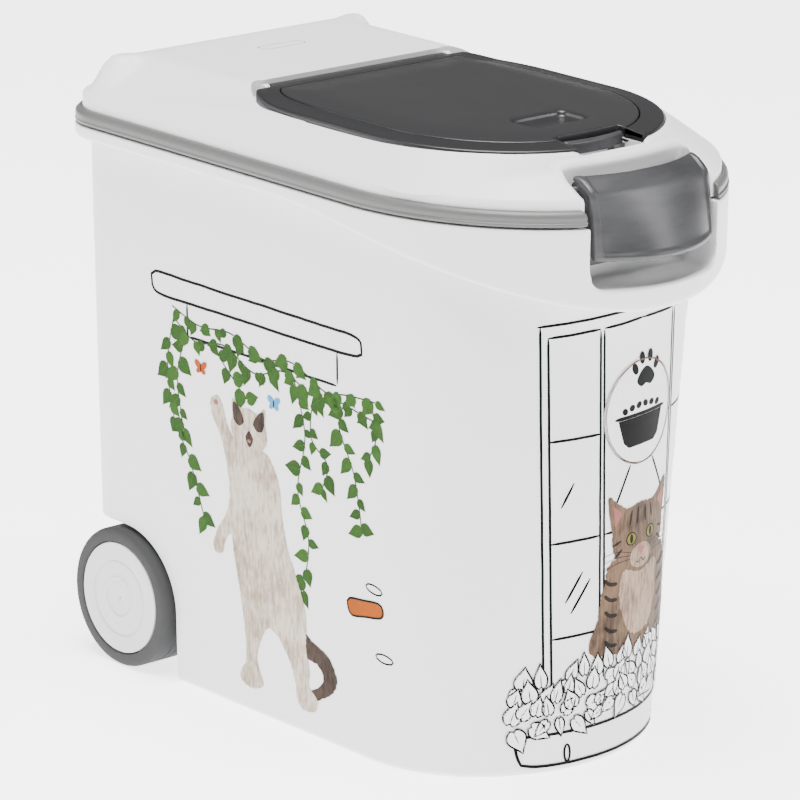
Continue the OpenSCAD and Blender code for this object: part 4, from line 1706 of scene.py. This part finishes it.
def make_cat_prints():
    """A cream cat that stretches up to the vines and a tabby cat that sits in the window."""
    rng = random.Random(23)
    cream = fur("fur_cream", (0.56, 0.49, 0.41, 1), (0.26, 0.19, 0.135, 1))
    brown = fur("fur_brown", (0.055, 0.036, 0.026, 1), (0.014, 0.01, 0.008, 1))
    tan = fur("fur_tan", (0.16, 0.098, 0.06, 1), (0.045, 0.028, 0.02, 1))
    stripe = fur("fur_stripe", (0.02, 0.014, 0.011, 1), (0.006, 0.005, 0.004, 1))
    chest = fur("fur_chest", (0.36, 0.26, 0.19, 1), (0.13, 0.08, 0.055, 1))
    skin = ink("skin_ink", (0.25, 0.09, 0.08, 1))
    shapes = (
        ("print_cat_tail", 4, brown, [tufts(CAT_TAIL, rng, 2.4)]),
        ("print_cat_body", 5, cream, [tufts(CAT, rng, 1.4)]),
        ("print_cat_head", 6, cream, [tufts(CAT_HEAD, rng, 1.2)]),
        ("print_cat_patches", 7, brown, [
            tufts(CAT_EARS_LEFT, rng, 1.0),
            tufts(CAT_EARS_RIGHT, rng, 1.0),
            tufts(CAT_NOSE_PATCH, rng, 1.0)]),
        ("print_cat_pads", 8, skin, [oval(-75.6, 213, 2.4, 1.9), oval(-42.2, 193.6, 1.7, 1.2)]),
        ("print_sitter_body", 4, tan, [tufts(SITTER, rng, 3.0)]),
        ("print_sitter_chest", 5, chest, [tufts(SITTER_CHEST, rng, 3.4)]),
        ("print_sitter_head", 6, tan, [tufts(SITTER_HEAD, rng, 1.8)]),
        ("print_sitter_muzzle", 7, chest, [tufts(oval(284, 137, 13, 8.5, 12), rng, 1.0)]),
    )
    for name, level, material, outlines in shapes:
        sheet = print_sheet(name, level)
        for outline in outlines:
            sheet.fill(outline)
        put_print(sheet, material)
    stripes = print_sheet("print_sitter_stripes", 8)
    for side in (-1, 1):
        for d0, z0, d1, z1 in ((4, 172, 5, 160), (11, 171, 13, 161), (22, 152, 30, 150), (21, 146, 29, 141)):
            stripes.line(straight(beside(side * d0, z0), beside(side * d1, z1), 3.0), 2.1)
        for z in (128, 117, 106, 95, 85):
            path = (beside(side * 38, z), beside(side * 33, z - 4), beside(side * 26, z - 5))
            stripes.line(smooth_path(path, False, 2.0), 2.6)
    put_print(stripes, stripe)
    ovals = (("rims", 9, 5.6, 4.6), ("eyes", 10, 4.6, 3.8), ("pupils", 11, 1.7, 3.2))
    for name, level, half_u, half_z in ovals:
        sheet = print_sheet("print_sitter_" + name, level)
        for u in (272.5, 295.5):
            sheet.fill(oval(u, 151, half_u, half_z, 24))
        if name == "rims":
            draw_muzzle_lines(sheet)
        put_print(sheet, ink("eye_ink", (0.13, 0.12, 0.015, 1)) if name == "eyes" else line_ink())
    nose = print_sheet("print_sitter_nose", 9)
    nose.fill(smooth_path(SITTER_NOSE, True, 1.0))
    for side in (-1, 1):
        nose.fill([beside(side * 30, 178), beside(side * 21, 171), beside(side * 28, 163)])
    put_print(nose, skin)


def beside(distance, z):
    """Place at a distance to the right of the line down the middle of the window."""
    return WINDOW_MIDDLE + distance, z


def draw_muzzle_lines(sheet):
    """The sitting cat's mouth and whiskers."""
    sheet.line(smooth_path(SITTER_MOUTH, False, 1.0), 0.7)
    for side in (-1, 1):
        for k in range(3):
            marks = ((11, 137 + k * 2), (26, 137 + k * 4), (40, 134 + k * 5))
            path = [beside(side * d, z) for d, z in marks]
            sheet.line(smooth_path(path, False, 2.0), 0.35)


def make_window_prints():
    """Window frame, planter with leaves and a round badge with a paw, all drawn in line."""
    rng = random.Random(37)
    width = sizes().line_width / MM
    lines = print_sheet("print_window_lines", 0)
    for side in (-1, 1):
        for (d0, z0), (d1, z1) in WINDOW_BARS:
            path = straight(beside(side * d0, z0), beside(side * d1, z1), 5.0)
            lines.line(hand_drawn(path, rng, 0.3), width * 0.9)
    box = smooth_path(PLANTER, False, 4.0)
    planter = print_sheet("print_planter_lines", 3)
    planter.line(hand_drawn(box, rng, 0.2), width)
    planter.line(hand_drawn(straight((172, 28), (396, 28), 4.0), rng, 0.2), width)
    for u in (214, 354):
        planter.line(smooth_path(oval(u, 13, 2.2, 6.0, 12), True, 2.0), width * 0.8, True)
    put_print(lines, line_ink())
    plants = print_sheet("print_plants_paper", 9)
    edges = print_sheet("print_plants_lines", 9)
    order = []
    for row, (z, gap) in enumerate(((66, 11.0), (56, 10.0), (46, 9.6), (41, 11.0))):
        u = 172 + 4 * (row % 2)
        while u < 400:
            arch = 8 * math.sin((u - 167) / 234 * math.pi)
            order.append((u + rng.uniform(-2, 2), z - 8 + arch + rng.uniform(-2.5, 2.5), row))
            u += gap
    for k, (u, z, row) in enumerate(order):
        turn = math.pi / 2 + (284 - u) / 117 * -0.9 + rng.uniform(-0.9, 0.9)
        if row == 3:
            turn = -math.pi / 2 + rng.uniform(-1.1, 1.1)
        shape = leaf_outline(u, z, turn, rng.uniform(13, 18), rng.uniform(0.55, 0.85))
        shape = smooth_path(shape, True, 1.6)
        level = 0.004 * k
        plants.fill(shape, level)
        edges.line(shape, width * 0.62, True, level + 0.002)
        tip = (u + 9 * math.cos(turn), z + 9 * math.sin(turn))
        edges.line(straight((u, z), tip, 3.0), width * 0.4, False, level + 0.002)
    put_print(planter, line_ink())
    put_print(plants, paper_ink())
    put_print(edges, line_ink())
    badge = print_sheet("print_badge_paper", 5)
    badge.fill(oval(283, 238, 37, 37, 72))
    put_print(badge, paper_ink())
    ring = print_sheet("print_badge_ring", 6)
    for k in range(3):
        loop = []
        for u, z in oval(283, 238, 36.6 - k, 36 - k * 0.4, 60):
            loop.append((u + rng.uniform(-0.25, 0.25), z + rng.uniform(-0.25, 0.25)))
        ring.line(smooth_path(loop, True, 3.0), 0.5, True, 0.01 * k)
    put_print(ring, ink("ring_ink", (0.12, 0.06, 0.04, 1), (0.05, 0.028, 0.022, 1)))
    icons = print_sheet("print_badge_icons", 6)
    icons.fill(smooth_path(PAW, True))
    for u, z, turn in PAW_TOES:
        icons.fill(oval(u, z, 2.9, 4.4, 20, turn))
    icons.fill(BOWL)
    icons.line(straight((256, 236.4), (310, 236.4), 4.0), 2.6)
    for k in range(6):
        icons.fill(oval(265.5 + 7 * k, 240.6 + 2.2 * math.sin(k * 0.63), 2.9, 2.3, 16, 0.4 * (k % 3 - 1)))
    put_print(icons, line_ink())


class FoodBinStep:
    bl_options = {"REGISTER", "UNDO"}


class FOODBIN_OT_tub(FoodBinStep, bpy.types.Operator):
    """Build the tub with its collar and finger pocket"""
    bl_idname = "food_bin.tub"
    bl_label = "Tub"

    def execute(self, context):
        dress(make_tub(), shell_finish(), "bin", "white_shell", "tub")
        for name in ("hinge_bracket_left", "hinge_bracket_right", "axle_bracket_left", "axle_bracket_right"):
            dress_node(name, shell_finish())
        return {"FINISHED"}


class FOODBIN_OT_lid(FoodBinStep, bpy.types.Operator):
    """Build the lid cover, its lugs, its hinge knuckles and its blank plate"""
    bl_idname = "food_bin.lid"
    bl_label = "Lid"

    def execute(self, context):
        dress(make_lid(), shell_finish(), "lid", "white_shell", "lid_shell")
        for piece in make_lugs() + make_knuckles():
            dress(piece, shell_finish(), "lid", "white_shell", "lid_shell")
        dress_node("lid_gasket", seal_finish())
        for name in ("lid_pin_left", "lid_pin_right", "flap_pin_left", "flap_pin_right",
                     "catch_pin", "latch_pin"):
            dress_node(name, steel_finish())
        return {"FINISHED"}


class FOODBIN_OT_band(FoodBinStep, bpy.types.Operator):
    """Build the grey grip band round the lid"""
    bl_idname = "food_bin.band"
    bl_label = "Grip band"

    def execute(self, context):
        finish = moulded("band_plastic", tone("band"), 0.38, 2100.0, 0.03, 0.06)
        dress(make_band(), finish, "lid", "grey_band", "grip_band")
        return {"FINISHED"}


class FOODBIN_OT_flap(FoodBinStep, bpy.types.Operator):
    """Build the dispensing flap: border, crowned top and notch wall"""
    bl_idname = "food_bin.flap"
    bl_label = "Dispensing flap"

    def execute(self, context):
        border = moulded("flap_border_plastic", tone("border"), 0.34, 2200.0, 0.06, 0.25)
        top = moulded("flap_top_plastic", tone("flap"), 0.30, 2300.0, 0.05, 0.2)
        dress(make_flap_border(), border, "flap", "dark_frame", "flap_frame")
        dress(make_flap_panel(), top, "flap", "dark_flap", "flap_panel")
        dress(make_notch_wall(), border, "flap", "dark_frame", "flap_panel")
        dress_node("flap_seal", seal_finish())
        return {"FINISHED"}


class FOODBIN_OT_catch(FoodBinStep, bpy.types.Operator):
    """Build the bowed catch bar that holds the flap shut"""
    bl_idname = "food_bin.catch"
    bl_label = "Flap catch"

    def execute(self, context):
        for piece in make_catch():
            dress(piece, grip_finish(), "catch", "latch_grey", "flap_catch")
        return {"FINISHED"}


class FOODBIN_OT_latch(FoodBinStep, bpy.types.Operator):
    """Build the bowed latch grip with its raised sides"""
    bl_idname = "food_bin.latch"
    bl_label = "Latch"

    def execute(self, context):
        for piece in make_grip():
            dress(piece, grip_finish(), "latch", "latch_grey", "latch_handle")
        hook = moulded("hook_plastic", (0.055, 0.055, 0.056, 1), 0.42, 2000.0, 0.08)
        dress_node("latch_hook", hook)
        return {"FINISHED"}


class FOODBIN_OT_wheels(FoodBinStep, bpy.types.Operator):
    """Build the two wheels and finish the axle"""
    bl_idname = "food_bin.wheels"
    bl_label = "Wheels"

    def execute(self, context):
        rubber = soft_rubber("tyre_rubber", tone("tyre"))
        disc = moulded("disc_plastic", tone("disc"), 0.4, 1900.0, 0.02, 0.05)
        for side, word in SIDES:
            tyre, face, core = make_wheel(side, word)
            body = "wheel_" + word
            dress(tyre, rubber, body, "wheel_rim_grey", "tyre_" + word)
            dress(face, disc, body, "hub_grey", "hub_cap_" + word)
            dress(core, disc, body, "hub_grey", "wheel_core_" + word)
            dress_node("axle_clip_" + word, steel_finish())
        dress_node("axle_rod", steel_finish())
        return {"FINISHED"}


class FOODBIN_OT_shelf_prints(FoodBinStep, bpy.types.Operator):
    """Print the shelf, the vines, the butterflies and the small marks on the left side"""
    bl_idname = "food_bin.shelf_prints"
    bl_label = "Shelf prints"

    def execute(self, context):
        make_shelf_prints()
        return {"FINISHED"}


class FOODBIN_OT_cat_prints(FoodBinStep, bpy.types.Operator):
    """Print the stretching cat and the sitting cat"""
    bl_idname = "food_bin.cat_prints"
    bl_label = "Cat prints"

    def execute(self, context):
        make_cat_prints()
        return {"FINISHED"}


class FOODBIN_OT_window_prints(FoodBinStep, bpy.types.Operator):
    """Print the window, the planter and the badge round the front"""
    bl_idname = "food_bin.window_prints"
    bl_label = "Window prints"

    def execute(self, context):
        make_window_prints()
        return {"FINISHED"}


class FOODBIN_OT_stage(FoodBinStep, bpy.types.Operator):
    """Set the pale floor, the soft lights and the camera"""
    bl_idname = "food_bin.stage"
    bl_label = "Stage"

    def execute(self, context):
        reach = sizes().floor_reach / MM
        points = [(-reach, -reach, 0), (reach, -reach, 0), (reach, reach, 0), (-reach, reach, 0)]
        floor = mesh_from("pale_floor", points, [[0, 1, 2, 3]])
        paper = Finish("floor_paper", Specular_IOR_Level=0.05, Emission_Strength=2.6)
        grain = paper.noise(paper.place(), 30.0, 2.0)
        paper.feed("Base Color", paper.blend((0.93, 0.93, 0.93, 1), (0.95, 0.95, 0.95, 1), grain))
        paper.feed("Roughness", 0.8 + 0.1 * grain)
        floor.data.materials.append(paper.material)
        self.light("top_softbox", (0.5, -0.6, 4.6), 3.4, 600.0)
        self.light("left_softbox", (-2.6, -3.4, 2.3), 2.2, 70.0)
        self.light("front_softbox", (3.5, 2.5, 2.2), 1.6, 78.0)
        world = bpy.data.worlds.new("studio")
        world.use_nodes = True
        sky = world.node_tree.nodes["Background"]
        sky.inputs["Color"].default_value = (1, 1, 1, 1)
        sky.inputs["Strength"].default_value = 0.22
        context.scene.world = world
        self.camera(context)
        return {"FINISHED"}

    def light(self, name, place, size, power):
        lamp = bpy.data.lights.new(name, "AREA")
        lamp.shape = "DISK"
        lamp.size = size
        lamp.energy = power
        holder = bpy.data.objects.new(name, lamp)
        holder.location = place
        aim = Vector((0, 0, 0.2)) - Vector(place)
        holder.rotation_euler = aim.to_track_quat("-Z", "Y").to_euler()
        bpy.context.scene.collection.objects.link(holder)

    def camera(self, context):
        turn = sizes().camera_turn
        height = sizes().camera_height
        roll = sizes().camera_roll
        back = Vector((
            math.sin(turn) * math.cos(height),
            -math.cos(turn) * math.cos(height),
            math.sin(height),
        ))
        right = Vector((math.cos(turn), math.sin(turn), 0))
        up = back.cross(right)
        tilted_right = right * math.cos(roll) + up * math.sin(roll)
        tilted_up = up * math.cos(roll) - right * math.sin(roll)
        target = Vector((-0.02964, 0, 0.20358))
        lens = bpy.data.cameras.new("studio_camera")
        lens.sensor_width = 36
        lens.lens = sizes().lens
        lens.shift_x = 0.00396
        lens.shift_y = -0.00217
        lens.dof.use_dof = False
        lens.clip_end = 100
        holder = bpy.data.objects.new("studio_camera", lens)
        axes = Matrix((tilted_right, tilted_up, back)).transposed().to_4x4()
        holder.matrix_world = Matrix.Translation(target + back * sizes().camera_distance) @ axes
        bpy.context.scene.collection.objects.link(holder)
        context.scene.camera = holder


class FOODBIN_PT_panel(bpy.types.Panel):
    """Sidebar panel with the bin's steps, sizes and colours"""
    bl_idname = "FOODBIN_PT_panel"
    bl_label = "Pet food bin"
    bl_space_type = "VIEW_3D"
    bl_region_type = "UI"
    bl_category = "Food bin"

    def draw(self, context):
        layout = self.layout
        for step in STEPS:
            layout.operator(step.bl_idname, text=step.bl_label)
        for group in (context.scene.food_bin_sizes, context.scene.food_bin_colours):
            column = layout.column()
            for name in group.__annotations__:
                column.prop(group, name)


STEPS = (
    FOODBIN_OT_tub,
    FOODBIN_OT_lid,
    FOODBIN_OT_band,
    FOODBIN_OT_flap,
    FOODBIN_OT_catch,
    FOODBIN_OT_latch,
    FOODBIN_OT_wheels,
    FOODBIN_OT_shelf_prints,
    FOODBIN_OT_cat_prints,
    FOODBIN_OT_window_prints,
    FOODBIN_OT_stage,
)
CLASSES = (FoodBinSizes, FoodBinColours) + STEPS + (FOODBIN_PT_panel,)


def register():
    for entry in CLASSES:
        bpy.utils.register_class(entry)
    bpy.types.Scene.food_bin_sizes = bpy.props.PointerProperty(type=FoodBinSizes)
    bpy.types.Scene.food_bin_colours = bpy.props.PointerProperty(type=FoodBinColours)


def unregister():
    del bpy.types.Scene.food_bin_colours
    del bpy.types.Scene.food_bin_sizes
    for entry in reversed(CLASSES):
        bpy.utils.unregister_class(entry)


def main():
    register()
    for step in STEPS:
        group, name = step.bl_idname.split(".")
        getattr(getattr(bpy.ops, group), name)()


if __name__ == "__main__":
    main()
